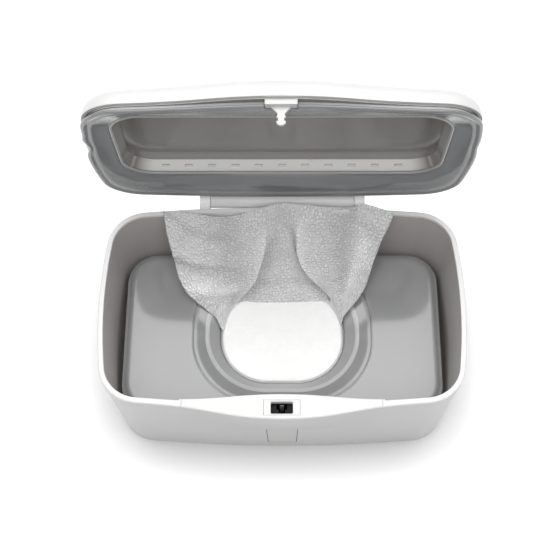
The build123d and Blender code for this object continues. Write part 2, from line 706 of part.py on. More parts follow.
def mouth_face(plane, outset):
    """Face inside the lid recess's rounded outline, grown by outset."""
    half = MOUTH_LENGTH / 2 + outset
    front = MOUTH_FRONT_Y - outset
    back = MOUTH_BACK_Y + outset
    corner = MOUTH_CORNER + outset
    part_way = corner * (1 - sin(pi / 4))
    with BuildSketch(plane) as face:
        with BuildLine():
            Line((-half + corner, front), (half - corner, front))
            ThreePointArc(
                (half - corner, front), (half - part_way, front + part_way), (half, front + corner)
            )
            Line((half, front + corner), (half, back - corner))
            ThreePointArc(
                (half, back - corner), (half - part_way, back - part_way), (half - corner, back)
            )
            Line((half - corner, back), (-half + corner, back))
            ThreePointArc(
                (-half + corner, back), (-half + part_way, back - part_way), (-half, back - corner)
            )
            Line((-half, back - corner), (-half, front + corner))
            ThreePointArc(
                (-half, front + corner), (-half + part_way, front + part_way), (-half + corner, front)
            )
        make_face()
    return face.sketch


def crowned_form(inset):
    """Solid inside the lid's outer skin, drawn in by inset: leaning sides under a gentle crown."""
    top_lift = CROWN_LIFT + SHELL_LEAN
    crown_centre = lid_frame.from_local_coords((0, 0, TUB_HEIGHT + CROWN_LIFT - CROWN_RADIUS))
    with BuildPart() as form:
        loft(
            sections=[
                plan_face(lid_level(SKIRT_LIFT), inset - SHELL_GROWTH, BULGE_DEPTH),
                plan_face(lid_level(top_lift), inset - SHELL_GROWTH + SHELL_LEAN, BULGE_DEPTH),
            ],
            ruled=True,
        )
        with Locations(crown_centre):
            Sphere(CROWN_RADIUS - inset, mode=Mode.INTERSECT)
        fillet(
            form.faces().filter_by(GeomType.SPHERE)[0].edges(), radius=SHELL_ROUNDING - inset
        )
    return form.part


# Lid shell: the white outer skin, the knuckle behind it and the web between them
skirt_z = TUB_HEIGHT + SKIRT_LIFT
with BuildPart() as lid_shell:
    add(crowned_form(0))
    with BuildSketch(lid_side(-KNUCKLE_HALF_LENGTH)) as knuckle:
        with BuildLine():
            knuckle_top_y = HINGE_Y + KNUCKLE_RADIUS * cos(pi / 4)
            knuckle_front_y = HINGE_Y - KNUCKLE_RADIUS * cos(pi / 4)
            knuckle_top_z = HINGE_Z + KNUCKLE_RADIUS * sin(pi / 4)
            web_y = half_depth - SHELL_WALL / 2
            Polyline(
                (web_y, skirt_z),
                (knuckle_front_y, knuckle_top_z),
                (HINGE_Y, HINGE_Z),
                (knuckle_top_y, knuckle_top_z),
                (web_y, skirt_z + 2 * KNUCKLE_RADIUS),
                close=True,
            )
        make_face()
        with Locations((HINGE_Y, HINGE_Z)):
            Circle(KNUCKLE_RADIUS)
            Circle(HINGE_PIN_RADIUS + PIN_GAP, mode=Mode.SUBTRACT)
    extrude(amount=2 * KNUCKLE_HALF_LENGTH)
    add(crowned_form(SHELL_WALL), mode=Mode.SUBTRACT)
    for spring_x in (-SPRING_INNER_X - SPRING_LENGTH, SPRING_INNER_X):
        with BuildSketch(Plane.YZ.offset(spring_x)) as spring_room:
            with Locations((HINGE_Y, HINGE_Z)):
                Circle(SPRING_BORE)
        extrude(amount=SPRING_LENGTH, mode=Mode.SUBTRACT)
    # Small slots through the knuckle's wall to the springs
    with BuildSketch(Plane.XY.offset(HINGE_Z - KNUCKLE_SLOT_DROP)) as knuckle_slots:
        for side in (-1, 1):
            with Locations((side * KNUCKLE_SLOT_X, HINGE_Y - KNUCKLE_RADIUS)):
                Rectangle(KNUCKLE_SLOT_WIDTH, KNUCKLE_RADIUS / 2)
    extrude(amount=KNUCKLE_SLOT_DROP, mode=Mode.SUBTRACT)
lid_shell.part.label = "lid_shell"
export_step(lid_shell.part, "parts/lid_shell.step")
print("lid shell", lid_shell.part.volume, lid_shell.part.is_valid, len(lid_shell.solids()))

# Lid liner: the deck inside the shell, the neck under it and the recess tray above it
notch_half = STRIKER_BRACKET_HALF + 2 * FIT_GAP
notch_back_y = STRIKER_Y + STRIKER_THICKNESS / 2 + SEAT_GAP
deck_inset = SHELL_WALL - SHELL_GROWTH + DECK_GAP
neck_foot = GASKET_LIFT + GASKET_THICKNESS
mouth_y = (MOUTH_FRONT_Y + MOUTH_BACK_Y) / 2
with BuildPart() as lid_liner:
    extrude(plan_face(lid_level(DECK_LIFT), deck_inset, BULGE_DEPTH), amount=DECK_THICKNESS)
    extrude(plan_face(lid_level(neck_foot), NECK_INSET, GASKET_BULGE), amount=DECK_LIFT - neck_foot)
    extrude(
        plan_face(lid_level(neck_foot), NECK_INSET + NECK_WALL, GASKET_BULGE),
        amount=DECK_LIFT - neck_foot,
        mode=Mode.SUBTRACT,
    )
    loft(
        sections=[
            mouth_face(lid_level(DECK_LIFT), TRAY_WALL),
            mouth_face(lid_level(TRAY_LIFT + TRAY_WALL), TRAY_WALL - TRAY_DRAFT),
        ],
        ruled=True,
    )
    loft(
        sections=[
            mouth_face(lid_level(DECK_LIFT), 0),
            mouth_face(lid_level(TRAY_LIFT), -TRAY_DRAFT),
        ],
        ruled=True,
        mode=Mode.SUBTRACT,
    )
    # Row of small shallow pockets along the recess's back wall
    slot_z = TUB_HEIGHT + (DECK_LIFT + TRAY_LIFT) / 2
    with BuildSketch(lid_front(mouth_y)) as slots:
        with Locations((0, slot_z)):
            with GridLocations(SLOT_PITCH, 0, SLOT_COUNT, 1):
                Rectangle(SLOT_WIDTH, SLOT_HEIGHT)
    pocket_back_y = MOUTH_BACK_Y - TRAY_DRAFT / 2 + SLOT_SINK
    extrude(amount=-(pocket_back_y - mouth_y), mode=Mode.SUBTRACT)
    # Notch for the striker's bracket, and holes for its pegs
    with BuildSketch(lid_level(neck_foot)) as liner_notch:
        with Locations((0, (past_front_y + notch_back_y) / 2)):
            Rectangle(2 * notch_half, notch_back_y - past_front_y)
    extrude(amount=DECK_LIFT - neck_foot, mode=Mode.SUBTRACT)
    with BuildSketch(lid_level(DECK_LIFT)) as peg_holes:
        with Locations((-STRIKER_PEG_X, STRIKER_PEG_Y), (STRIKER_PEG_X, STRIKER_PEG_Y)):
            Circle(STRIKER_PEG_RADIUS + PIN_GAP)
    extrude(amount=DECK_THICKNESS, mode=Mode.SUBTRACT)
lid_liner.part.label = "lid_liner"
export_step(lid_liner.part, "parts/lid_liner.step")
print("lid liner", lid_liner.part.volume, lid_liner.part.is_valid, len(lid_liner.solids()))

# Lid gasket: the grey lip that closes on the rim and slopes in to the recess
gasket_core_inset = NECK_INSET + NECK_WALL + FIT_GAP
with BuildPart() as lid_gasket:
    extrude(
        plan_face(lid_level(GASKET_LIFT), -GASKET_GROWTH, GASKET_BULGE), amount=GASKET_THICKNESS
    )
    extrude(
        plan_face(lid_level(GASKET_LIFT), gasket_core_inset, GASKET_BULGE),
        amount=DECK_LIFT - GASKET_LIFT,
    )
    loft(
        sections=[
            plan_face(lid_level(GASKET_LIFT), GASKET_LIP - GASKET_GROWTH, GASKET_BULGE),
            mouth_face(lid_level(DECK_LIFT - GASKET_EDGE), SEAT_GAP),
        ],
        ruled=True,
        mode=Mode.SUBTRACT,
    )
    extrude(mouth_face(lid_level(GASKET_LIFT), 0), amount=DECK_LIFT, mode=Mode.SUBTRACT)
    # Straight back edge in front of the hinge
    with BuildSketch(lid_level(GASKET_LIFT)) as hinge_relief:
        with Locations((0, HINGE_Y - KNUCKLE_RADIUS / 2 - SEAT_GAP)):
            Rectangle(TUB_LENGTH, KNUCKLE_RADIUS)
    extrude(amount=GASKET_THICKNESS, mode=Mode.SUBTRACT)
    with BuildSketch(lid_level(GASKET_LIFT)) as gasket_notch:
        with Locations((0, (past_front_y + notch_back_y) / 2)):
            Rectangle(2 * notch_half, notch_back_y - past_front_y)
    extrude(amount=DECK_LIFT, mode=Mode.SUBTRACT)
lid_gasket.part.label = "lid_gasket"
export_step(lid_gasket.part, "parts/lid_gasket.step")
print("lid gasket", lid_gasket.part.volume, lid_gasket.part.is_valid, len(lid_gasket.solids()))

# Striker: bracket under the deck, two pegs up through it, and the barbed tongue
with BuildPart() as striker:
    bracket_back_y = notch_back_y - FIT_GAP
    with BuildSketch(lid_level(BRACKET_LIFT)) as bracket:
        with Locations((0, (BRACKET_FRONT_Y + bracket_back_y) / 2)):
            Rectangle(2 * STRIKER_BRACKET_HALF, bracket_back_y - BRACKET_FRONT_Y)
    extrude(amount=DECK_LIFT - BRACKET_LIFT)
    with BuildSketch(lid_level(DECK_LIFT)) as pegs:
        with Locations((-STRIKER_PEG_X, STRIKER_PEG_Y), (STRIKER_PEG_X, STRIKER_PEG_Y)):
            Circle(STRIKER_PEG_RADIUS)
    extrude(amount=2 * DECK_THICKNESS)
    with BuildSketch(lid_front(STRIKER_Y + STRIKER_THICKNESS / 2)) as tongue:
        with BuildLine():
            Polyline(
                (0, TUB_HEIGHT + DECK_LIFT),
                *[(half, TUB_HEIGHT - drop) for half, drop in STRIKER_HALF_OUTLINE],
            )
            head_half, head_drop = STRIKER_HALF_OUTLINE[-1]
            ThreePointArc(
                (head_half, TUB_HEIGHT - head_drop),
                (
                    head_half * cos(pi / 4),
                    TUB_HEIGHT - head_drop - (STRIKER_TIP_DROP - head_drop) * sin(pi / 4),
                ),
                (0, TUB_HEIGHT - STRIKER_TIP_DROP),
            )
            Line((0, TUB_HEIGHT - STRIKER_TIP_DROP), (0, TUB_HEIGHT + DECK_LIFT))
        make_face()
        mirror(about=Plane.YZ)
    extrude(amount=STRIKER_THICKNESS)
striker.part.label = "striker"
export_step(striker.part, "parts/striker.step")
print("striker", striker.part.volume, striker.part.is_valid, len(striker.solids()))

# Weighted plate: its cover, with the two-step funnel down to the wipes
plate_foot = STACK_TOP_Z + SEAT_GAP
funnel_lip = 2 * PLATE_SKIN
with BuildPart() as plate_cover:
    with BuildSketch(Plane.XY.offset(plate_foot)) as plate_plan:
        RectangleRounded(PLATE_LENGTH, PLATE_DEPTH, PLATE_CORNER)
    extrude(amount=PLATE_TOP_Z - plate_foot)
    fillet(plate_cover.faces().sort_by(Axis.Z)[-1].edges(), radius=PLATE_ROUNDING)
    with BuildSketch(Plane.XY.offset(plate_foot)) as plate_hollow:
        RectangleRounded(
            PLATE_LENGTH - 2 * PLATE_WALL, PLATE_DEPTH - 2 * PLATE_WALL, PLATE_CORNER - PLATE_WALL
        )
    extrude(amount=PLATE_TOP_Z - PLATE_SKIN - plate_foot, mode=Mode.SUBTRACT)
    with BuildSketch(Plane.XY.offset(plate_foot)) as funnel_foot:
        RectangleRounded(
            MOUTHPIECE_LENGTH + funnel_lip, MOUTHPIECE_DEPTH + funnel_lip, MOUTHPIECE_CORNER
        )
    with BuildSketch(Plane.XY.offset(PLATE_TOP_Z - PLATE_SKIN / 2)) as funnel_top:
        RectangleRounded(FUNNEL_LENGTH, FUNNEL_DEPTH, FUNNEL_CORNER)
    loft(sections=[funnel_foot.sketch, funnel_top.sketch], ruled=True)
    with BuildSketch(Plane.XY.offset(PLATE_TOP_Z)) as dish_top:
        RectangleRounded(FUNNEL_LENGTH, FUNNEL_DEPTH, FUNNEL_CORNER)
    with BuildSketch(Plane.XY.offset(STEP_Z)) as dish_foot:
        RectangleRounded(STEP_LENGTH, STEP_DEPTH, STEP_CORNER)
    loft(sections=[dish_top.sketch, dish_foot.sketch], ruled=True, mode=Mode.SUBTRACT)
    with BuildSketch(Plane.XY.offset(STEP_Z)) as step_top:
        RectangleRounded(STEP_LENGTH - STEP_LEDGE, STEP_DEPTH - STEP_LEDGE, STEP_CORNER - STEP_LEDGE / 2)
    with BuildSketch(Plane.XY.offset(plate_foot + MOUTHPIECE_HEIGHT)) as mouth_top:
        RectangleRounded(MOUTHPIECE_LENGTH, MOUTHPIECE_DEPTH, MOUTHPIECE_CORNER)
    loft(sections=[step_top.sketch, mouth_top.sketch], ruled=True, mode=Mode.SUBTRACT)
    with BuildSketch(Plane.XY.offset(plate_foot)) as mouth_hole:
        RectangleRounded(MOUTHPIECE_LENGTH, MOUTHPIECE_DEPTH, MOUTHPIECE_CORNER)
    extrude(amount=MOUTHPIECE_HEIGHT, mode=Mode.SUBTRACT)
plate_cover.part.label = "plate_cover"
export_step(plate_cover.part, "parts/plate_cover.step")
print("plate cover", plate_cover.part.volume, plate_cover.part.is_valid, len(plate_cover.solids()))

# Base ring that closes the plate from below
inside_length = PLATE_LENGTH - 2 * (PLATE_WALL + FIT_GAP)
inside_depth = PLATE_DEPTH - 2 * (PLATE_WALL + FIT_GAP)
inside_corner = PLATE_CORNER - PLATE_WALL - FIT_GAP
base_hole_growth = funnel_lip + 2 * BASE_HOLE_GAP
with BuildPart() as plate_base:
    with BuildSketch(Plane.XY.offset(plate_foot)) as base_plan:
        RectangleRounded(inside_length, inside_depth, inside_corner)
        RectangleRounded(
            MOUTHPIECE_LENGTH + base_hole_growth,
            MOUTHPIECE_DEPTH + base_hole_growth,
            MOUTHPIECE_CORNER + BASE_HOLE_GAP,
            mode=Mode.SUBTRACT,
        )
    extrude(amount=PLATE_BASE_THICKNESS)
plate_base.part.label = "plate_base"
export_step(plate_base.part, "parts/plate_base.step")

# Steel weight that lies on the base ring
with BuildPart() as plate_weight:
    with BuildSketch(Plane.XY.offset(plate_foot + PLATE_BASE_THICKNESS)) as weight_plan:
        RectangleRounded(
            inside_length - 2 * WEIGHT_GAP, inside_depth - 2 * WEIGHT_GAP, inside_corner - WEIGHT_GAP
        )
        RectangleRounded(
            STEP_LENGTH + funnel_lip + 2 * WEIGHT_GAP,
            STEP_DEPTH + funnel_lip + 2 * WEIGHT_GAP,
            STEP_CORNER + WEIGHT_GAP,
            mode=Mode.SUBTRACT,
        )
    extrude(amount=WEIGHT_THICKNESS)
plate_weight.part.label = "plate_weight"
export_step(plate_weight.part, "parts/plate_weight.step")

# Stack of folded wipes, swelling a little in the plate's opening
with BuildPart() as wipes_stack:
    with BuildSketch(Plane.XY.offset(FLOOR_THICKNESS)) as stack_plan:
        RectangleRounded(STACK_LENGTH, STACK_DEPTH, STACK_CORNER)
    extrude(amount=STACK_TOP_Z - FLOOR_THICKNESS)
    fillet(wipes_stack.faces().sort_by(Axis.Z)[-1].edges(), radius=STACK_ROUNDING)
    with BuildSketch(Plane.XY.offset(STACK_TOP_Z)) as mound_plan:
        RectangleRounded(MOUND_LENGTH, MOUND_DEPTH, MOUND_CORNER)
    extrude(amount=STACK_MOUND)
    fillet(wipes_stack.faces().sort_by(Axis.Z)[-1].edges(), radius=STACK_MOUND * 0.9)
wipes_stack.part.label = "wipes_stack"
export_step(wipes_stack.part, "parts/wipes_stack.step")
print("stack", wipes_stack.part.volume, wipes_stack.part.is_valid, len(wipes_stack.solids()))


def wipe_back(point):
    """Point on the back of the pulled wipe, across from this point on its front."""
    x, y = point
    spread = max(-1.0, min(1.0, x / 20))
    return (x + WIPE_THICKNESS / 2 * spread, y + WIPE_THICKNESS * 0.9)


def wipe_section(height, knots, swells):
    """Cut through the pulled wipe at one height: flaps, facets and the middle panel."""
    flap, facet, panel = swells
    middles = []
    for index, swell in enumerate((flap, 0, facet, 0, panel, 0, facet, 0, flap)):
        (x1, y1), (x2, y2) = knots[index], knots[index + 1]
        span = sqrt((x2 - x1) ** 2 + (y2 - y1) ** 2)
        middles.append(
            ((x1 + x2) / 2 - (y2 - y1) / span * swell, (y1 + y2) / 2 + (x2 - x1) / span * swell)
        )
    with BuildSketch(Plane.XY.offset(height)) as section:
        with BuildLine():
            for index, middle in enumerate(middles):
                if index % 2:
                    Line(knots[index], knots[index + 1])
                else:
                    ThreePointArc(knots[index], middle, knots[index + 1])
            Line(knots[-1], wipe_back(knots[-1]))
            for index in reversed(range(len(middles))):
                start, end = wipe_back(knots[index + 1]), wipe_back(knots[index])
                if index % 2:
                    Line(start, end)
                else:
                    ThreePointArc(start, wipe_back(middles[index]), end)
            Line(wipe_back(knots[0]), knots[0])
        make_face()
    return section.sketch


# Wipe pulled up through the opening and laid back over the rim
with BuildPart() as pulled_wipe:
    wipe_sections = []
    for (height, *knots), swells in zip(WIPE_LEVELS, WIPE_SWELLS):
        wipe_sections.append(wipe_section(height, knots, swells))
    loft(sections=wipe_sections)
pulled_wipe.part.label = "pulled_wipe"
export_step(pulled_wipe.part, "parts/pulled_wipe.step")
print("wipe", pulled_wipe.part.volume, pulled_wipe.part.is_valid, len(pulled_wipe.solids()))
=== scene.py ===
"""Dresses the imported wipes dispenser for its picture.

The CAD frame carries every rigid form. This script gives each CAD node its finish, replaces the
soft pieces by fuller ones, adds the small moulded and turned details, and sets up the studio.
Everything is in metres, in the frame's own axes: +X right, -Y front, +Z up.
"""

from __future__ import annotations

import logging
import math
from dataclasses import dataclass, field
from enum import Enum

import bmesh
import bpy
from mathutils import Matrix, Vector, noise

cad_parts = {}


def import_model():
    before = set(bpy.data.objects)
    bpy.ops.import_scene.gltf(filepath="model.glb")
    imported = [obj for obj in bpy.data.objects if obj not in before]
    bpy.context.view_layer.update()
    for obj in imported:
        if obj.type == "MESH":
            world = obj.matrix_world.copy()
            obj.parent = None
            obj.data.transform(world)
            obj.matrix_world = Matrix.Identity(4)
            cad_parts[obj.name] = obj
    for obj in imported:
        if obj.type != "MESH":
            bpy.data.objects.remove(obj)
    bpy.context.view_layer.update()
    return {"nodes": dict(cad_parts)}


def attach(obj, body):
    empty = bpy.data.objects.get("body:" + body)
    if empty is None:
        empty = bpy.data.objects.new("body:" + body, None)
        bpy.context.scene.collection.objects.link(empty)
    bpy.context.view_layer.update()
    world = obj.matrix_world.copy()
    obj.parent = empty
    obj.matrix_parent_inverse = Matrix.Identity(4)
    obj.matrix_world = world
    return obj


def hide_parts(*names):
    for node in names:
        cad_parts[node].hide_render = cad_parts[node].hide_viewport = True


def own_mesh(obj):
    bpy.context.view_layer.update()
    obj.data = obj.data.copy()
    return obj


log = logging.getLogger("wipes_dispenser")

MM = 0.001

# The hinge line, the rim's height and the angle of the open lid
HINGE_Y = 78.8
HINGE_Z = 93.0
TUB_HEIGHT = 94.0
LID_ANGLE = 80.0

# Edges of small pieces that turn less than this are shaded smooth
SMOOTH_ANGLE = 40.0

# The wipe's folds: rows from the opening up to the hem, each from its left edge to its right
WIPE_NET = (
    (
        (-39.8, 4.5, 38.3), (-38, 13, 38.3), (-35.5, 19, 38.3), (-29, 23, 38.3),
        (-27.5, 23.6, 38.2), (3, 26, 38.2), (31, 23.4, 38.2), (32, 22.8, 38.3),
        (36.5, 16.5, 38.3), (38, 13, 38.3), (39.8, 9.5, 38.3),
    ),
    (
        (-42.3, 3.7, 41.2), (-40, 13, 41), (-36.6, 20.3, 40.5), (-31.7, 25, 40.5),
        (-30.3, 25.2, 39.6), (1.9, 25.8, 40.5), (33.3, 26.5, 39.8), (34.7, 27.1, 41),
        (38.9, 18.5, 41), (40.2, 15.3, 41.3), (41.8, 8.6, 41.2),
    ),
    (
        (-46.8, 10.9, 45), (-42.7, 17.6, 46.5), (-35.5, 23.8, 43), (-30.2, 27.2, 45),
        (-29.9, 27.6, 41.6), (2.6, 28.5, 44), (32.7, 29.8, 42), (32.5, 29.4, 45.5),
        (39.1, 22.2, 45), (41.5, 20.7, 46.5), (43.3, 12.5, 45),
    ),
    (
        (-54.5, 16.6, 49), (-47.4, 21.3, 52), (-34.4, 28.3, 47), (-25, 29.8, 50.5),
        (-25.9, 31.1, 46), (3.3, 33.6, 49), (28.2, 34, 46.5), (27.4, 32.7, 51),
        (39.3, 25.9, 50.5), (44.6, 26.3, 52.8), (48, 17.2, 49),
    ),
    (
        (-65, 24.8, 54.5), (-52.8, 26.5, 59), (-33.9, 33.3, 53), (-19.9, 34, 58),
        (-20.8, 35.4, 53.5), (3.3, 40.8, 57), (22.5, 37.4, 52.5), (21.6, 35.8, 57.5),
        (39.2, 30.6, 57), (47.5, 31.8, 61), (53.9, 22.7, 54),
    ),
    (
        (-72.7, 34.8, 62), (-57.6, 35.8, 65.5), (-34.4, 40.1, 61.5), (-16.7, 40.3, 66),
        (-16.8, 41.2, 62.5), (2.9, 47.9, 66.5), (16.7, 41.8, 60.5), (15.9, 40.4, 65),
        (38.3, 37.9, 64.5), (50, 38.8, 69), (59, 30.2, 61),
    ),
    (
        (-76.6, 46.9, 73), (-61.6, 46.4, 72.5), (-35.9, 48.5, 71.5), (-14.1, 48.5, 74.5),
        (-12.8, 49.3, 73), (2.6, 53.8, 78), (11, 49.3, 71.5), (12.4, 48.2, 73.5),
        (37.5, 46.9, 73), (52.6, 46.4, 77), (62.9, 40.4, 70.5),
    ),
    (
        (-80.4, 59.3, 84), (-64.8, 55.6, 82), (-37.8, 57.2, 80.5), (-13.7, 56.9, 82.5),
        (-9.9, 57.2, 83.5), (1.9, 60, 88.5), (8.8, 56.9, 84), (13.7, 57.2, 82),
        (38, 55.8, 81.5), (55.1, 55.3, 85.5), (68.8, 53.2, 80.5),
    ),
    (
        (-81.6, 67.1, 94.2), (-65.7, 63.6, 92), (-39, 63.7, 87.5), (-14.7, 64.1, 91),
        (-9.1, 64.6, 93), (1.6, 67.1, 97), (9.5, 64.3, 93.5), (15.7, 65.4, 91.5),
        (39.9, 64.4, 90.5), (57, 64.8, 94), (74.7, 62.8, 90.5),
    ),
    (
        (-82, 69.2, 96.3), (-65.9, 68.4, 95.8), (-39.6, 67.1, 90.8), (-17.4, 70.8, 96),
        (-9.8, 71.8, 98.8), (1.9, 72.6, 101), (10.9, 72.4, 99.8), (17.7, 72.5, 98.5),
        (43.9, 71, 96.3), (57.9, 72.3, 99.5), (76.8, 67, 96.3),
    ),
)

Material = bpy.types.Material
Node = bpy.types.Node
Socket = bpy.types.NodeSocket
Piece = bpy.types.Object
Point = tuple[float, float, float]
Colour = tuple[float, float, float]
Pair = tuple[float, float]
Pairs = tuple[Pair, ...]


class Test(Enum):
    """How a value in a finish is held against a limit."""

    BELOW = "LESS_THAN"
    ABOVE = "GREATER_THAN"


class Joining(Enum):
    """What a second form does to a piece."""

    CUT = "DIFFERENCE"
    WELD = "UNION"


class Nodes:
    """A node tree, with short ways to add and link nodes."""

    def __init__(self, owner: Material | bpy.types.World) -> None:
        """Start an empty tree in a material or in the world."""
        owner.use_nodes = True
        self.tree = owner.node_tree
        self.tree.nodes.clear()

    def feed(self, value: object, node: Node, socket: str | int) -> None:
        """Link another node's output to a socket, or set the socket to a plain value."""
        if isinstance(value, Socket):
            self.tree.links.new(value, node.inputs[socket])
        else:
            node.inputs[socket].default_value = value

    def add(self, kind: str, **settings: object) -> Node:
        """Add one node and set its properties and sockets.

        Args:
            kind: The node's bl_idname without "ShaderNode".
            **settings: Property values, or what feeds a socket, with underscores for spaces.
        """
        node = self.tree.nodes.new("ShaderNode" + kind)
        for key, value in settings.items():
            if hasattr(node, key):
                setattr(node, key, value)
            else:
                self.feed(value, node, key.replace("_", " "))
        return node

    def join(self, kind: str, *values: object, **settings: object) -> Node:
        """Add one node and feed its first sockets in order."""
        node = self.add(kind, **settings)
        for index, value in enumerate(values):
            self.feed(value, node, index)
        return node

    def math(self, operation: str, *values: Socket | float) -> Socket:
        """Add a sum of numbers and outputs."""
        return self.join("Math", *values, operation=operation).outputs[0]

    def vector(self, operation: str, output: str, *values: Socket | Point) -> Socket:
        """Add a sum of vectors and return the named output."""
        return self.join("VectorMath", *values, operation=operation).outputs[output]

    def every(self, *tests: tuple[Socket, Test, Socket | float]) -> Socket:
        """Add 1 where a place passes all tests of a value against a limit, and 0 elsewhere."""
        inside = None
        for value, test, limit in tests:
            passed = self.math(test.value, value, limit)
            inside = passed if inside is None else self.math("MULTIPLY", inside, passed)
        return inside

    def mix(
        self, share: Socket | float, first: object, second: object, kind: str = "MIX"
    ) -> Socket:
        """Mix two colours, each an output or a plain colour."""
        node = self.add("Mix", data_type="RGBA", blend_type=kind)
        for socket, value in ((0, share), (6, first), (7, second)):
            self.feed(value, node, socket)
        return node.outputs[2]

    def blend(self, share: Socket, first: Node, second: Node) -> Node:
        """Mix two shaders."""
        return self.join("MixShader", share, first.outputs[0], second.outputs[0])

    def span(
        self, value: Socket, low: float, high: float, start: float = 0.0, end: float = 1.0
    ) -> Socket:
        """Add a map from start..end to low..high behind a value."""
        node = self.add(
            "MapRange", Value=value, From_Min=start, From_Max=end, To_Min=low, To_Max=high
        )
        return node.outputs["Result"]

    def ramp(self, value: Socket, *stops: tuple[float, tuple[float, ...]]) -> Socket:
        """Add a colour ramp behind a value, with its positions and colours in order."""
        node = self.add("ValToRGB", Fac=value)
        band = node.color_ramp
        band.elements[0].position, band.elements[0].color = stops[0]
        band.elements[1].position, band.elements[1].color = stops[-1]
        for position, colour in stops[1:-1]:
            band.elements.new(position).color = colour
        return node.outputs["Color"]


class Surface(Nodes):
    """A material's tree, with a Principled shader and the object's own coordinates."""

    def __init__(self, name: str) -> None:
        """Make the material and its first nodes."""
        self.material = bpy.data.materials.new(name)
        super().__init__(self.material)
        self.place = self.add("TexCoord").outputs
        self.shader = self.add("BsdfPrincipled")
        self.add("OutputMaterial", Surface=self.shader.outputs["BSDF"])

    def split(self, output: str) -> bpy.types.NodeOutputs:
        """The X, Y and Z of the object's coordinates or of its normal."""
        return self.add("SeparateXYZ", Vector=self.place[output]).outputs

    def noise(self, scale: float, detail: float = 3.0, rough: float = 0.5) -> Socket:
        """Add a noise on object coordinates, with this many features per metre."""
        place = self.place["Object"]
        node = self.add("TexNoise", Scale=scale, Detail=detail, Roughness=rough, Vector=place)
        return node.outputs["Fac"]

    def bump(self, height: Socket, depth: float, normal: Socket | None = None) -> Socket:
        """Add a bump of this depth, in metres, behind a height, on top of another normal."""
        node = self.add("Bump", Strength=1.0, Distance=depth, Height=height)
        if normal is not None:
            self.feed(normal, node, "Normal")
        return node.outputs["Normal"]

    def finish(self, **sockets: object) -> Material:
        """Feed the shader's sockets and return the material."""
        for key, value in sockets.items():
            self.feed(value, self.shader, key.replace("_", " "))
        return self.material


def shade(colour: Colour, factor: float) -> tuple[float, float, float, float]:
    """A colour made lighter or darker, with full alpha."""
    return (*(min(1.0, channel * factor) for channel in colour), 1.0)


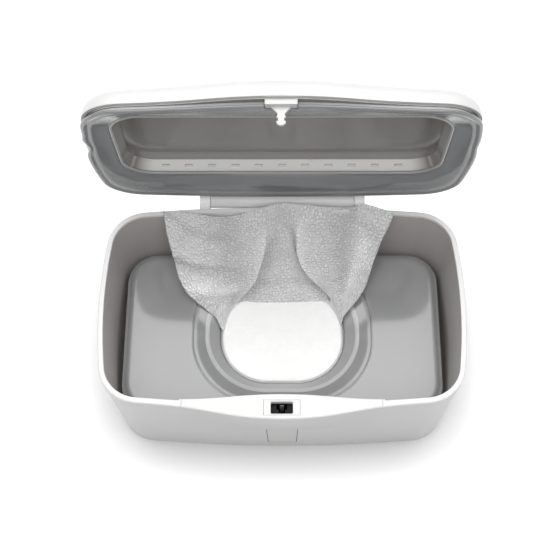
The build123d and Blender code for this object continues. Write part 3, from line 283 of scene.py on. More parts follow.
@dataclass(frozen=True)
class MouldedPlastic:
    """Moulded plastic: an even colour with faint flow marks, and a fine spark-eroded grain.

    The colour inside is for the tub's inner walls and floor. The colour turned is painted light
    and shade: it goes on faces that look towards one direction and lie between the heights above
    and below. The flank highlight is painted light, a lighter grey on steep faces; over the painted
    shade heights, painted shade darkens the colour from the lower height to the upper one; and
    lean tips the reflections back.
    """

    name: str
    colour: Colour
    roughness: float = 0.42
    grain_depth: float = 0.00001
    grain_scale: float = 2600.0
    mottle: float = 0.03
    coat: float = 0.0
    edge: float = 0.0005
    waviness: float = 0.0
    inside: Colour | None = None
    # Painted light and shade for faces that look towards one direction
    turned: Colour | None = None
    towards: Point = (0.0, 0.0, 1.0)
    above: float = -1.0
    below: float = 1.0
    # Heights over which painted shade darkens the colour
    painted_shade_heights: Pair | None = None
    # Grey of a painted highlight on steep faces
    flank_highlight: float | None = None
    lean: float = 0.0

    def build(self) -> Material:
        """Make the material."""
        nodes = Surface(self.name)
        flow = nodes.noise(9.0, 4.0, 0.55)
        tint = self.tint(nodes, flow, self.colour)
        if self.inside is not None:
            tint = self.line_inside(nodes, tint, self.tint(nodes, flow, self.inside))
        elif self.turned is not None:
            # Paint light and shade on faces that look one way, on steep faces, and with height
            tint = self.line_side(nodes, tint, self.tint(nodes, flow, self.turned))
        handling = nodes.noise(38.0, 5.0, 0.6)
        normal = nodes.add("Bevel", samples=4, Radius=self.edge).outputs["Normal"]
        if self.waviness:
            normal = nodes.bump(nodes.noise(22.0, 1.0), self.waviness, normal)
        if self.lean:
            normal = nodes.bump(nodes.split("Object")["Y"], self.lean, normal)
        normal = nodes.bump(nodes.noise(self.grain_scale, 2.0, 0.6), self.grain_depth, normal)
        return nodes.finish(
            Base_Color=tint,
            Roughness=nodes.span(handling, self.roughness * 0.85, self.roughness * 1.15),
            Coat_Weight=self.coat,
            Coat_Roughness=0.06,
            Normal=normal,
            Coat_Normal=normal,
        )

    def tint(self, nodes: Surface, flow: Socket, colour: Colour) -> Socket:
        """Spread a colour a little lighter and darker along the flow marks."""
        darker, lighter = shade(colour, 1 - self.mottle), shade(colour, 1 + self.mottle)
        return nodes.ramp(flow, (0.3, darker), (0.7, lighter))

    def line_side(self, nodes: Surface, rest: Socket, side: Socket) -> Socket:
        """Paint light and shade: another colour on the faces that look one way between two heights,
        a lighter highlight on steep faces, and shade that darkens the colour with height.
        """
        place, normal = nodes.split("Object"), nodes.split("Normal")
        facing = nodes.vector("DOT_PRODUCT", "Value", nodes.place["Normal"], self.towards)
        level = nodes.span(facing, 0.0, 1.0, 0.55, 0.8)
        between = nodes.every(
            (place["Z"], Test.BELOW, self.below), (place["Z"], Test.ABOVE, self.above)
        )
        share = nodes.math("MULTIPLY", level, between)
        # Painted light and shade: the turned colour goes on faces that look one way between two
        # heights
        colour = nodes.mix(share, rest, side)
        if self.flank_highlight is not None:
            # Painted highlight: steep faces are mixed towards a lighter grey
            steep = nodes.span(normal["Z"], 0.0, 1.0, 0.88, 0.45)
            colour = nodes.mix(steep, colour, shade((self.flank_highlight,) * 3, 1.0))
        if self.painted_shade_heights is not None:
            # Painted shade: the colour darkens from the lower height to the upper one
            painted_shade = nodes.span(place["Z"], 1.12, 0.72, *self.painted_shade_heights)
            colour = nodes.mix(1.0, colour, painted_shade, "MULTIPLY")
        return colour

    def line_inside(self, nodes: Surface, outer: Socket, inner: Socket) -> Socket:
        """Show another colour on the tub's inner walls and floor, paint shade into the latch
        chamber and a shadow along the button's lower gap, and make the hinge near-white.

        Args:
            nodes: The material's tree.
            outer: The outer colour.
            inner: The inner colour.

        Returns:
            The colour of the whole tub.
        """
        inward = nodes.vector("MULTIPLY", "Vector", nodes.place["Object"], (-1.0, -1.0, 0.0))
        facing = nodes.vector("DOT_PRODUCT", "Value", inward, nodes.place["Normal"])
        place, normal = nodes.split("Object"), nodes.split("Normal")
        aside = nodes.math("ABSOLUTE", place["X"])
        at_hinge = nodes.math("LESS_THAN", aside, 0.0535)
        walls = nodes.every(
            (facing, Test.ABOVE, 0.035),
            (place["Z"], Test.BELOW, nodes.span(at_hinge, 0.0922, 0.0885)),
            (place["Y"], Test.BELOW, 0.0722),
        )
        floor = nodes.every((place["Z"], Test.BELOW, 0.006), (normal["Z"], Test.ABOVE, 0.6))
        colour = nodes.mix(nodes.math("MAXIMUM", walls, floor), outer, inner)
        # Painted shade: the latch chamber's walls are coloured near-black
        chamber = nodes.every(
            (aside, Test.BELOW, 0.0123),
            (place["Y"], Test.BELOW, -0.0635),
            (place["Z"], Test.BELOW, 0.0915),
            (normal["Y"], Test.ABOVE, -0.3),
        )
        # The hinge is coloured near-white, lighter than the rest of the tub
        hinge = nodes.every((place["Y"], Test.ABOVE, 0.074))
        # Painted shadow: a dark grey line along the button's lower gap
        button_gap_shadow = nodes.every(
            (aside, Test.BELOW, 0.0093),
            (place["Y"], Test.BELOW, -0.07),
            (place["Z"], Test.BELOW, 0.0101),
            (place["Z"], Test.ABOVE, 0.0093),
        )
        for share, grey in ((chamber, 0.02), (hinge, 0.93), (button_gap_shadow, 0.22)):
            colour = nodes.mix(share, colour, (grey, grey, grey, 1.0))
        return colour


@dataclass(frozen=True)
class BrushedSteel:
    """Steel with a fine lengthwise brushing."""

    name: str
    colour: Colour = (0.55, 0.55, 0.56)
    roughness: float = 0.32

    def build(self) -> Material:
        """Make the material."""
        nodes = Surface(self.name)
        stretch = nodes.add("Mapping", Scale=(40.0, 1600.0, 1600.0), Vector=nodes.place["Object"])
        brushing = nodes.add(
            "TexNoise", Scale=1.0, Detail=3.0, Vector=stretch.outputs["Vector"]
        ).outputs["Fac"]
        darker, lighter = shade(self.colour, 0.85), shade(self.colour, 1.1)
        return nodes.finish(
            Base_Color=nodes.ramp(brushing, (0.2, darker), (0.8, lighter)),
            Roughness=nodes.span(brushing, self.roughness * 0.7, self.roughness * 1.3),
            Metallic=1.0,
            Normal=nodes.bump(brushing, 0.00001),
        )


@dataclass(frozen=True)
class SoftRubber:
    """Dull rubber with a fine cast texture."""

    name: str
    colour: Colour = (0.05, 0.05, 0.052)

    def build(self) -> Material:
        """Make the material."""
        nodes = Surface(self.name)
        bloom = nodes.noise(160.0, 4.0, 0.6)
        darker, lighter = shade(self.colour, 0.8), shade(self.colour, 1.5)
        return nodes.finish(
            Base_Color=nodes.ramp(bloom, (0.3, darker), (0.75, lighter)),
            Roughness=nodes.span(bloom, 0.6, 0.85),
            Normal=nodes.bump(nodes.noise(2200.0, 2.0), 0.00002),
        )


@dataclass(frozen=True)
class EmbossedCloth:
    """Nonwoven wipe: white fibres with a close pattern of embossed dots, on the sheet's own map.

    The hollows between the dots are darkened as painted shade, the folds paint shade into the
    creases and light onto the ridges, and glow is painted light: the cloth emits a little light.
    """

    name: str
    colour: Colour = (0.93, 0.93, 0.94)
    dot_pitch: float = 0.002
    dot_depth: float = 0.0008
    fibre_depth: float = 0.00008
    # Share of painted shade in the hollows between the dots
    painted_hollow_shade: float = 0.26
    wet: float = 0.35
    # Painted light: how strongly the cloth glows, though it is no lamp
    glow: float = 0.0
    clumping: float = 0.07
    # Paint shade into the creases and light onto the ridges from the folds' lift
    relief: bool = False

    def build(self) -> Material:
        """Make the material."""
        nodes = Surface(self.name)
        cells = nodes.add(
            "TexVoronoi", Scale=1.0 / self.dot_pitch, Randomness=0.6, feature="F1",
            Vector=nodes.place["UV"],
        )
        dots = nodes.ramp(
            cells.outputs["Distance"],
            (0.0, (1, 1, 1, 1)), (0.32, (0.85, 0.85, 0.85, 1)), (0.62, (0, 0, 0, 1)),
        )
        fibres = nodes.noise(2400.0, 5.0, 0.7)
        darker, lighter = shade(self.colour, 1 - self.clumping), shade(self.colour, 1.03)
        tint = nodes.ramp(nodes.noise(130.0, 3.0, 0.6), (0.3, darker), (0.7, lighter))
        # Painted shade: the hollows between the dots are darkened
        colour = nodes.mix(self.painted_hollow_shade, tint, dots, "MULTIPLY")
        if self.relief:
            # Painted shade in the creases and painted light on the ridges, from the folds' lift
            folds = nodes.add("Attribute", attribute_name="relief").outputs["Fac"]
            depth = nodes.span(folds, 0.72, 1.12, -2.6, 2.6)
            colour = nodes.mix(1.0, colour, depth, "MULTIPLY")
        if self.glow:
            # Painted light: the cloth emits its own colour
            nodes.finish(Emission_Color=tint, Emission_Strength=self.glow)
        raised = nodes.bump(dots, self.dot_depth)
        normal = nodes.bump(fibres, self.fibre_depth, raised)
        return nodes.finish(
            Base_Color=colour,
            Roughness=nodes.span(dots, 0.65, 0.3),
            Sheen_Weight=0.1,
            Coat_Weight=self.wet,
            Coat_Roughness=0.15,
            Normal=normal,
            Coat_Normal=normal,
        )


Recipe = MouldedPlastic | BrushedSteel | SoftRubber | EmbossedCloth


@dataclass
class Palette:
    """The finishes of this dispenser, made once and shared."""

    made: dict[str, Material] = field(default_factory=dict)

    def finish(self, recipe: Recipe) -> Material:
        """Return the recipe's material, made the first time that it is asked for."""
        if recipe.name not in self.made:
            self.made[recipe.name] = recipe.build()
        return self.made[recipe.name]


WHITE = MouldedPlastic("white shell plastic", (0.72, 0.72, 0.715), roughness=0.36)
TUB_WHITE = MouldedPlastic(
    "white tub plastic", (0.785, 0.777, 0.775), roughness=0.38, inside=(0.50, 0.48, 0.465)
)
BUTTON_WHITE = MouldedPlastic("button plastic", (0.77, 0.765, 0.76), roughness=0.38)
STRIKER_WHITE = MouldedPlastic("striker plastic", (0.66, 0.655, 0.65), roughness=0.36)
COVER_WHITE = MouldedPlastic("white cover plastic", (0.755, 0.755, 0.75), roughness=0.34)
BEZEL_WHITE = MouldedPlastic("bezel plastic", (0.80, 0.80, 0.795), roughness=0.32)
LATCH_DARK = MouldedPlastic("latch plastic", (0.004, 0.004, 0.0045), roughness=0.8)
# Painted shade: the panel's front-facing faces are coloured near-black inside the latch chamber
PANEL_GREY = MouldedPlastic(
    "chamber panel plastic", (0.42, 0.405, 0.39), turned=(0.02, 0.02, 0.02),
    towards=(0.0, -1.0, 0.0),
)
RIB_GREY = MouldedPlastic("lever rib plastic", (0.30, 0.29, 0.285), roughness=0.3, coat=0.5)
# Painted light on the liner's upward faces, and painted shade that darkens it towards the top of
# the open lid
LINER_GREY = MouldedPlastic(
    "liner plastic", (0.222, 0.21, 0.2), roughness=0.2, grain_depth=0.000004, coat=0.6,
    turned=(0.72, 0.715, 0.70), painted_shade_heights=(0.15, 0.215),
)
BEAD_PALE = MouldedPlastic("recess bead plastic", (0.36, 0.355, 0.35), roughness=0.2, coat=0.6)
GASKET_GREY = MouldedPlastic(
    "gasket plastic", (0.2, 0.207, 0.213), roughness=0.2, grain_depth=0.000003, coat=0.7,
    waviness=0.0006,
)
# Painted highlights: a lighter ring on the upward faces of the funnel's ledge, and a lighter grey
# on the steep faces
PLATE_GREY = MouldedPlastic(
    "plate plastic", (0.272, 0.274, 0.278), roughness=0.12, grain_depth=0.000002, coat=1.0,
    edge=0.0026, lean=0.085, flank_highlight=0.62, turned=(0.45, 0.455, 0.46), above=0.0452, below=0.0464,
)
STEEL = BrushedSteel("brushed steel")
RUBBER = SoftRubber("foot rubber")
# Both cloths glow a little as painted light; the wipe also carries painted shade and light from its
# folds
WIPE_CLOTH = EmbossedCloth("embossed wipe", relief=True, glow=0.04)
STACK_CLOTH = EmbossedCloth(
    "folded wipes", (0.91, 0.91, 0.905), dot_depth=0.00012, painted_hollow_shade=0.02, wet=0.05, glow=0.03,
    clumping=0.01,
)


def dress(node: Piece, material: Material) -> None:
    """Give a whole object one material."""
    if not node.data.materials:
        node.data.materials.append(material)
    for index in range(len(node.data.materials)):
        node.data.materials[index] = material


def corner_reach(angle: float, half_x: float, half_y: float, corner: float) -> float:
    """Distance from the middle of a rounded rectangle to its outline in one direction."""
    low, high = 0.0, half_x + half_y
    for _ in range(40):
        middle = (low + high) / 2
        past_x = abs(middle * math.cos(angle)) - (half_x - corner)
        past_y = abs(middle * math.sin(angle)) - (half_y - corner)
        outside = math.hypot(max(past_x, 0.0), max(past_y, 0.0)) + min(max(past_x, past_y), 0.0)
        if outside > corner:
            high = middle
        else:
            low = middle
    return low


def activate(piece: Piece) -> None:
    """Select one piece alone and make it the one that is worked on."""
    bpy.ops.object.select_all(action="DESELECT")
    piece.select_set(True)
    bpy.context.view_layer.objects.active = piece


def soft_mesh(
    name: str, points: list[Point], faces: list[tuple[int, ...]], flat_map: list[Pair]
) -> Piece:
    """Make a smooth object from points in millimetres.

    Args:
        name: The object's name.
        points: The points, in millimetres.
        faces: Point numbers of each face.
        flat_map: Where each point lies on the flat material, in metres.

    Returns:
        The new object, with its faces turned outwards.
    """
    mesh = bpy.data.meshes.new(name)
    mesh.from_pydata([tuple(value * MM for value in point) for point in points], [], faces)
    layer = mesh.uv_layers.new(name="flat")
    for loop in mesh.loops:
        layer.data[loop.index].uv = flat_map[loop.vertex_index]
    work = bmesh.new()
    work.from_mesh(mesh)
    bmesh.ops.recalc_face_normals(work, faces=work.faces)
    for face in work.faces:
        face.smooth = True
    work.to_mesh(mesh)
    work.free()
    piece = bpy.data.objects.new(name, mesh)
    bpy.context.scene.collection.objects.link(piece)
    return piece


def ring_faces(rings: int, count: int, closed: bool) -> list[tuple[int, ...]]:
    """Faces between rings of count points each; closed joins the last to the first."""
    faces = []
    for ring in range(rings if closed else rings - 1):
        after = (ring + 1) % rings
        for step in range(count):
            following = (step + 1) % count
            low = (ring * count + step, ring * count + following)
            faces.append((*low, after * count + following, after * count + step))
    return faces


def spline(values: list[float], place: float) -> float:
    """Value of a smooth curve through evenly spaced values at a place counted in them."""
    index = min(int(place), len(values) - 2)
    share = place - index
    first, second = values[index], values[index + 1]
    before = values[index - 1] if index > 0 else 2 * first - second
    after = values[index + 2] if index + 2 < len(values) else 2 * second - first
    rise = (second - before) / 2
    fall = (after - first) / 2
    return (
        (2 * share**3 - 3 * share**2 + 1) * first
        + (share**3 - 2 * share**2 + share) * rise
        + (-2 * share**3 + 3 * share**2) * second
        + (share**3 - share**2) * fall
    )


@dataclass(frozen=True)
class RimPlan:
    """The tub's plan outline, in millimetres, with its bulged front."""

    half_length: float = 122.5
    half_depth: float = 73.8
    corner: float = 27.3
    side_sag: float = 2.8
    front_sag: float = 3.9
    bulge_half_width: float = 86.0
    side_steps: int = 14
    corner_steps: int = 14
    back_steps: int = 36

    def quarter(self, inset: float) -> list[Pair]:
        """Points of one quarter, from the middle of the side to the middle of the back."""
        corner = self.corner - inset
        corner_x = self.half_length - self.corner - self.side_sag
        corner_y = self.half_depth - self.corner - self.front_sag
        side_core = (corner_y**2 + self.side_sag**2) / (2 * self.side_sag)
        back_core = (corner_x**2 + self.front_sag**2) / (2 * self.front_sag)
        side_turn = math.asin(corner_y / side_core)
        back_turn = math.asin(corner_x / back_core)
        side_radius, back_radius = side_core + corner, back_core + corner
        points = []
        for step in range(self.side_steps):
            turn = side_turn * step / self.side_steps
            middle = self.half_length - inset - side_radius
            points.append((middle + side_radius * math.cos(turn), side_radius * math.sin(turn)))
        for step in range(self.corner_steps):
            turn = side_turn + (math.pi / 2 - back_turn - side_turn) * step / self.corner_steps
            points.append((corner_x + corner * math.cos(turn), corner_y + corner * math.sin(turn)))
        for step in range(self.back_steps + 1):
            turn = back_turn * (1 - step / self.back_steps)
            middle = self.half_depth - inset - back_radius
            points.append((back_radius * math.sin(turn), middle + back_radius * math.cos(turn)))
        return points

    def ring(self, inset: float, bulge: float) -> list[Pair]:
        """The whole outline, drawn in by inset, with its front pushed out by bulge."""
        quarter = self.quarter(inset)
        back = quarter + [(-x, y) for x, y in reversed(quarter[:-1])]
        front = [(x, -y) for x, y in reversed(back[1:-1])]
        points = list(back)
        for x, y in front:
            share = min(abs(x) / self.bulge_half_width, 1.0)
            rise = 1 - 2 * share**2 if share < 0.5 else 2 * (1 - share) ** 2
            points.append((x, y - bulge * rise))
        return points


@dataclass(frozen=True)
class Fold:
    """A ridge or crease along a line counted in the net's columns and rows."""

    start: Pair
    end: Pair
    width: float
    depth: float

    def push(self, across: float, along: float) -> float:
        """How far the fold lifts the sheet here, in millimetres."""
        run_x, run_y = self.end[0] - self.start[0], self.end[1] - self.start[1]
        length = math.hypot(run_x, run_y)
        gone_x, gone_y = across - self.start[0], along - self.start[1]
        share = (gone_x * run_x + gone_y * run_y) / length**2
        aside = (gone_x * run_y - gone_y * run_x) / length
        past = max(0.0, -share, share - 1) * length
        return self.depth * math.exp(-((aside / self.width) ** 2) - (past / 0.5) ** 2)


FOLDS = (
    Fold((0.0, 4.3), (1.9, 3.5), 0.50, 2.4),
    Fold((0.0, 5.6), (1.7, 4.9), 0.30, -2.2),
    Fold((2.0, 9.0), (2.0, 2.0), 0.40, -1.5),
    Fold((3.2, 6.6), (3.2, 2.0), 0.40, 1.6),
    Fold((4.3, 6.2), (4.1, 1.5), 0.28, -1.8),
    Fold((5.8, 6.7), (6.0, 1.5), 0.28, -2.0),
    Fold((6.7, 7.4), (7.0, 1.5), 0.38, 1.7),
    Fold((8.1, 9.0), (8.2, 4.5), 0.45, -2.0),
    Fold((9.2, 6.5), (9.0, 3.0), 0.50, 1.6),
    Fold((0.5, 7.8), (1.9, 6.6), 0.25, -1.2),
    Fold((5.0, 8.2), (5.0, 7.0), 0.90, -0.9),
    Fold((4.5, 3.4), (5.9, 3.3), 0.30, -0.8),
    Fold((8.6, 7.8), (9.8, 6.9), 0.25, -1.0),
    Fold((0.2, 2.2), (1.3, 2.6), 0.25, -0.9),
)


@dataclass
class PulledWipe:
    """The wipe that is pulled up through the opening and laid back over the rim."""

    palette: Palette
    steps: int = 11
    thickness: float = 0.45
    fold_gain: float = 1.35
    crumple: float = 1.2
    crumple_scale: float = 0.09
    fine: float = 0.4
    fine_scale: float = 0.3
    onset: float = 2.5
    outward: Point = (0, -0.6, 0.5)
    net: tuple[tuple[Point, ...], ...] = WIPE_NET

    def relief(self, across: float, along: float) -> float:
        """How far the folds lift the sheet here, in millimetres."""
        return self.fold_gain * sum(fold.push(across, along) for fold in FOLDS)

    def shape(self, across: float, along: float) -> Vector:
        """The point of the sheet at a place counted in the net's columns and rows."""
        point = Vector()
        for axis in range(3):
            column = [spline([knot[axis] for knot in row], across) for row in self.net]
            point[axis] = spline(column, along)
        share = along / (len(self.net) - 1)
        crumple = noise.noise(point * self.crumple_scale) * self.crumple
        stretched = Vector((point.x, point.y * 0.6, point.z * 0.6))
        fine = noise.noise(stretched * self.fine_scale) * self.fine
        push = (self.relief(across, along) + crumple + fine) * min(share * self.onset, 1.0)
        return point + Vector(self.outward) * push

    def build(self) -> None:
        """Make the sheet, with its own thickness and flat map."""
        rows = (len(self.net) - 1) * self.steps + 1
        columns = (len(self.net[0]) - 1) * self.steps + 1
        grid = [
            [self.shape(column / self.steps, row / self.steps) for column in range(columns)]
            for row in range(rows)
        ]
        middle = columns // 2
        flat_map = []
        risen = 0.0
        for row in range(rows):
            if row:
                risen += (grid[row][middle] - grid[row - 1][middle]).length
            gone = [0.0]
            for column in range(1, columns):
                gone.append(gone[-1] + (grid[row][column] - grid[row][column - 1]).length)
            flat_map += [((place - gone[middle]) * MM, risen * MM) for place in gone]
        points = [tuple(point) for line in grid for point in line]
        faces = []
        area = 0.0
        for row in range(rows - 1):
            for column in range(columns - 1):
                start = row * columns + column
                faces.append((start, start + 1, start + columns + 1, start + columns))
                side = grid[row][column + 1] - grid[row][column]
                rise = grid[row + 1][column] - grid[row][column]
                area += side.cross(rise).length
        sheet = soft_mesh("pulled_wipe_sheet", points, faces, flat_map)
        # The folds' lift is stored on the sheet, where the cloth reads it to paint shade into the
        # creases and light onto the ridges
        relief = sheet.data.attributes.new("relief", "FLOAT", "POINT")
        for number, value in enumerate(relief.data):
            row, column = divmod(number, columns)
            value.value = self.relief(column / self.steps, row / self.steps)
        activate(sheet)
        cloth = sheet.modifiers.new("cloth", "SOLIDIFY")
        cloth.thickness = self.thickness * MM
        cloth.offset = 0.0
        bpy.ops.object.modifier_apply(modifier=cloth.name)
        dress(sheet, self.palette.finish(WIPE_CLOTH))
        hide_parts("pulled_wipe")
        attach(sheet, "tub")
        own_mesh(sheet)
        log.info("pulled wipe: %d x %d points, %.5f square metres", rows, columns, area * 1e-6)


@dataclass
class FoldedStack:
    """The pile of folded wipes under the plate, swelling up into its mouthpiece."""

    palette: Palette
    layers: int = 26
    foot: float = 4.2
    top: float = 37.4
    half_x: float = 99.2
    half_y: float = 53.2
    corner: float = 9.0
    pillow_x: float = 42.0
    pillow_y: float = 34.2
    pillow_corner: float = 32.0
    pillow_lift: float = 2.5
    pillow_edge: float = 6.0
    slip: float = 0.5
    swell: float = 0.18
    count: int = 144

    def ring(self, half_x: float, half_y: float, corner: float, height: float) -> list[Point]:
        """One level ring of the pile."""
        points = []
        for step in range(self.count):
            angle = 2 * math.pi * step / self.count
            reach = corner_reach(angle, half_x, half_y, corner)
            points.append((reach * math.cos(angle), reach * math.sin(angle), height))
        return points

    def build(self) -> None:
        """Make the pile as one padded piece."""
        rings = [self.ring(self.half_x - 6, self.half_y - 6, self.corner - 5, self.foot)]
        pitch = (self.top - self.foot) / self.layers
        for layer in range(self.layers):
            slip = self.slip * noise.noise(Vector((layer * 1.7, 0.3, 0.0)))
            for share, inset in ((0.08, 0.75), (0.3, 0.15), (0.7, 0.15), (0.92, 0.75)):
                half_x, half_y = self.half_x - inset + slip, self.half_y - inset - slip
                level = self.foot + (layer + share) * pitch
                rings.append(self.ring(half_x, half_y, self.corner, level))
        for step in range(1, 10):
            share = step / 9
            half_x = self.half_x - 0.9 + (self.pillow_x + 1.0 - self.half_x) * share
            half_y = self.half_y - 0.9 + (self.pillow_y + 1.0 - self.half_y) * share
            corner = self.corner + (self.pillow_corner - self.corner) * share
            rings.append(self.ring(half_x, half_y, corner, self.top + 0.35 * share))
        for inset, share in ((0.0, 0.42), (0.3, 0.62), (1.0, 0.78), (2.6, 0.9), (6.0, 0.96)):
            half_x, half_y = self.pillow_x - inset, self.pillow_y - inset
            level = self.top + 0.5 + self.pillow_lift * share
            rings.append(self.ring(half_x, half_y, self.pillow_corner - inset, level))
        for step in range(1, 12):
            keep = 1 - step / 12
            half_x = (self.pillow_x - self.pillow_edge) * keep
            half_y = (self.pillow_y - self.pillow_edge) * keep
            corner = (self.pillow_corner - self.pillow_edge) * keep * 0.98
            level = self.top + 0.5 + self.pillow_lift * (0.96 + 0.04 * (1 - keep**2))
            rings.append(self.ring(half_x, half_y, corner, level))
        points = [point for ring in rings for point in ring]
        faces = ring_faces(len(rings), self.count, False)
        foot_middle, top_middle = len(points), len(points) + 1
        points += [(0.0, 0.0, self.foot), (0.0, 0.0, self.top + 0.5 + self.pillow_lift)]
        last = (len(rings) - 1) * self.count
        for step in range(self.count):
            following = (step + 1) % self.count
            faces.append((following, step, foot_middle))
            faces.append((last + step, last + following, top_middle))
        for number, (x, y, z) in enumerate(points):
            if z > self.top + 1.5:
                swell = self.swell * noise.noise(Vector((x * 0.05, y * 0.07, 1.0)))
                points[number] = (x, y, z + swell)
        flat_map = [(x * MM, (y + z) * MM) for x, y, z in points]
        stack = soft_mesh("folded_wipes", points, faces, flat_map)
        dress(stack, self.palette.finish(STACK_CLOTH))
        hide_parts("wipes_stack")
        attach(stack, "tub")
        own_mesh(stack)
        log.info("folded wipes: %d layers", self.layers)


@dataclass
class LidSeal:
    """The soft grey lip that closes on the rim and slopes in to the lid's recess."""

    palette: Palette
    plan: RimPlan = field(default_factory=RimPlan)
    bulge: float = 3.4
    mouth_half_x: float = 104.5
    mouth_half_y: float = 47.55
    mouth_middle_y: float = -7.95
    mouth_corner: float = 22.0
    back: float = 73.7
    side: float = 100.0
    soft_top: float = 2.42
    soft_reach: float = 7.0
    slope_follows: float = 0.3
    lip: Pairs = (
        (4.95, 5.0), (4.95, 2.45), (0.6, 2.4), (-0.35, 2.1), (-0.6, 1.4), (-0.4, 0.7),
        (0.2, 0.32), (1.2, 0.25), (2.2, 0.5), (3.1, 0.95), (4.1, 1.1), (5.1, 1.0),
    )
    slope: Pairs = (
        (0.12, 1.35), (0.35, 2.1), (0.65, 3.05), (0.88, 3.8), (0.97, 4.15), (1.0, 4.5),
        (1.0, 5.0),
    )
    waves: tuple[tuple[int, float, float, float], ...] = (
        (-1, 3.1, -14, 9), (-1, -0.6, -34, 9), (1, 1.0, -14, 10),
    )

    def wave(self, x: float, y: float) -> float:
        """How far the soft lip is drawn in at this place on its side."""
        drawn = 0.0
        for side, depth, middle, spread in self.waves:
            if side * x >= self.side:
                drawn += depth * math.exp(-(((y - middle) / spread) ** 2))
        return drawn

    def build(self) -> None:
        """Make the ring in the closed lid's place and carry it to the open lid."""
        rings = []
        for inset, lift in self.lip:
            soft = max(0.0, 1 - max(inset, 0) / self.soft_reach) if lift < self.soft_top else 0
            ring = []
            for x, y in self.plan.ring(inset, self.bulge):
                x -= math.copysign(self.wave(x, y) * soft, x)
                ring.append((x, min(y, self.back), TUB_HEIGHT + lift))
            rings.append(ring)
        inner = self.plan.ring(self.lip[-1][0], self.bulge)
        count = len(inner)
        for share, lift in self.slope:
            ring = []
            for x, y in inner:
                x -= math.copysign(self.wave(x, y) * (1 - share) * self.slope_follows, x)
                y = min(y, self.back)
                angle = math.atan2(y - self.mouth_middle_y, x)
                reach = corner_reach(
                    angle, self.mouth_half_x + 0.1, self.mouth_half_y + 0.1, self.mouth_corner
                )
                x += (reach * math.cos(angle) - x) * share
                y += (self.mouth_middle_y + reach * math.sin(angle) - y) * share
                ring.append((x, y, TUB_HEIGHT + lift))
            rings.append(ring)
        points = [point for ring in rings for point in ring]
        faces = ring_faces(len(rings), count, True)
        flat_map = [(x * MM, y * MM) for x, y, _ in points]
        seal = soft_mesh("lid_seal", points, faces, flat_map)
        cutter = box_piece("seal_cutter", (-9.7, 9.7), (-90.0, -72.6), (92.0, 99.4))
        combine(seal, cutter, Joining.CUT)
        seal.data.transform(open_lid_matrix())
        activate(seal)
        bpy.ops.object.shade_smooth_by_angle(angle=math.radians(55))
        dress(seal, self.palette.finish(GASKET_GREY))
        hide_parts("lid_gasket")
        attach(seal, "lid")
        log.info("lid seal: %d points around", count)


def open_lid_matrix() -> Matrix:
    """The turn about the hinge that opens the lid."""
    hinge = Vector((0, HINGE_Y * MM, HINGE_Z * MM))
    turn = Matrix.Rotation(math.radians(-LID_ANGLE), 4, "X")
    return Matrix.Translation(hinge) @ turn @ Matrix.Translation(-hinge)


def settle(name: str, scale: Point = (1.0, 1.0, 1.0)) -> Piece:
    """Name and stretch the primitive just added, with its place, turn and scale as its own."""
    piece = bpy.context.object
    piece.name = name
    piece.scale = scale
    bpy.ops.object.transform_apply(location=True, rotation=True, scale=True)
    return piece


def box_piece(name: str, x: Pair, y: Pair, z: Pair) -> Piece:
    """A plain block between these limits, in millimetres, to cut with or to work on."""
    bpy.ops.object.select_all(action="DESELECT")
    middle = [sum(limits) / 2 * MM for limits in (x, y, z)]
    bpy.ops.mesh.primitive_cube_add(size=1.0, location=middle)
    return settle(name, [(limits[1] - limits[0]) * MM for limits in (x, y, z)])


def combine(piece: Piece, other: Piece, joining: Joining) -> None:
    """Cut another form out of a piece, or weld it on, and clear that form away."""
    activate(piece)
    change = piece.modifiers.new("change", "BOOLEAN")
    change.object = other
    change.operation = joining.value
    change.solver = "EXACT"
    bpy.ops.object.modifier_apply(modifier=change.name)
    bpy.data.objects.remove(other, do_unlink=True)


def soften(piece: Piece, width: float, segments: int = 3) -> None:
    """Round a piece's edges by this width, in millimetres, and shade it smooth."""
    activate(piece)
    rounding = piece.modifiers.new("rounding", "BEVEL")
    rounding.width = width * MM
    rounding.segments = segments
    rounding.limit_method = "ANGLE"
    rounding.angle_limit = math.radians(35)
    bpy.ops.object.modifier_apply(modifier=rounding.name)
    bpy.ops.object.shade_smooth_by_angle(angle=math.radians(SMOOTH_ANGLE))


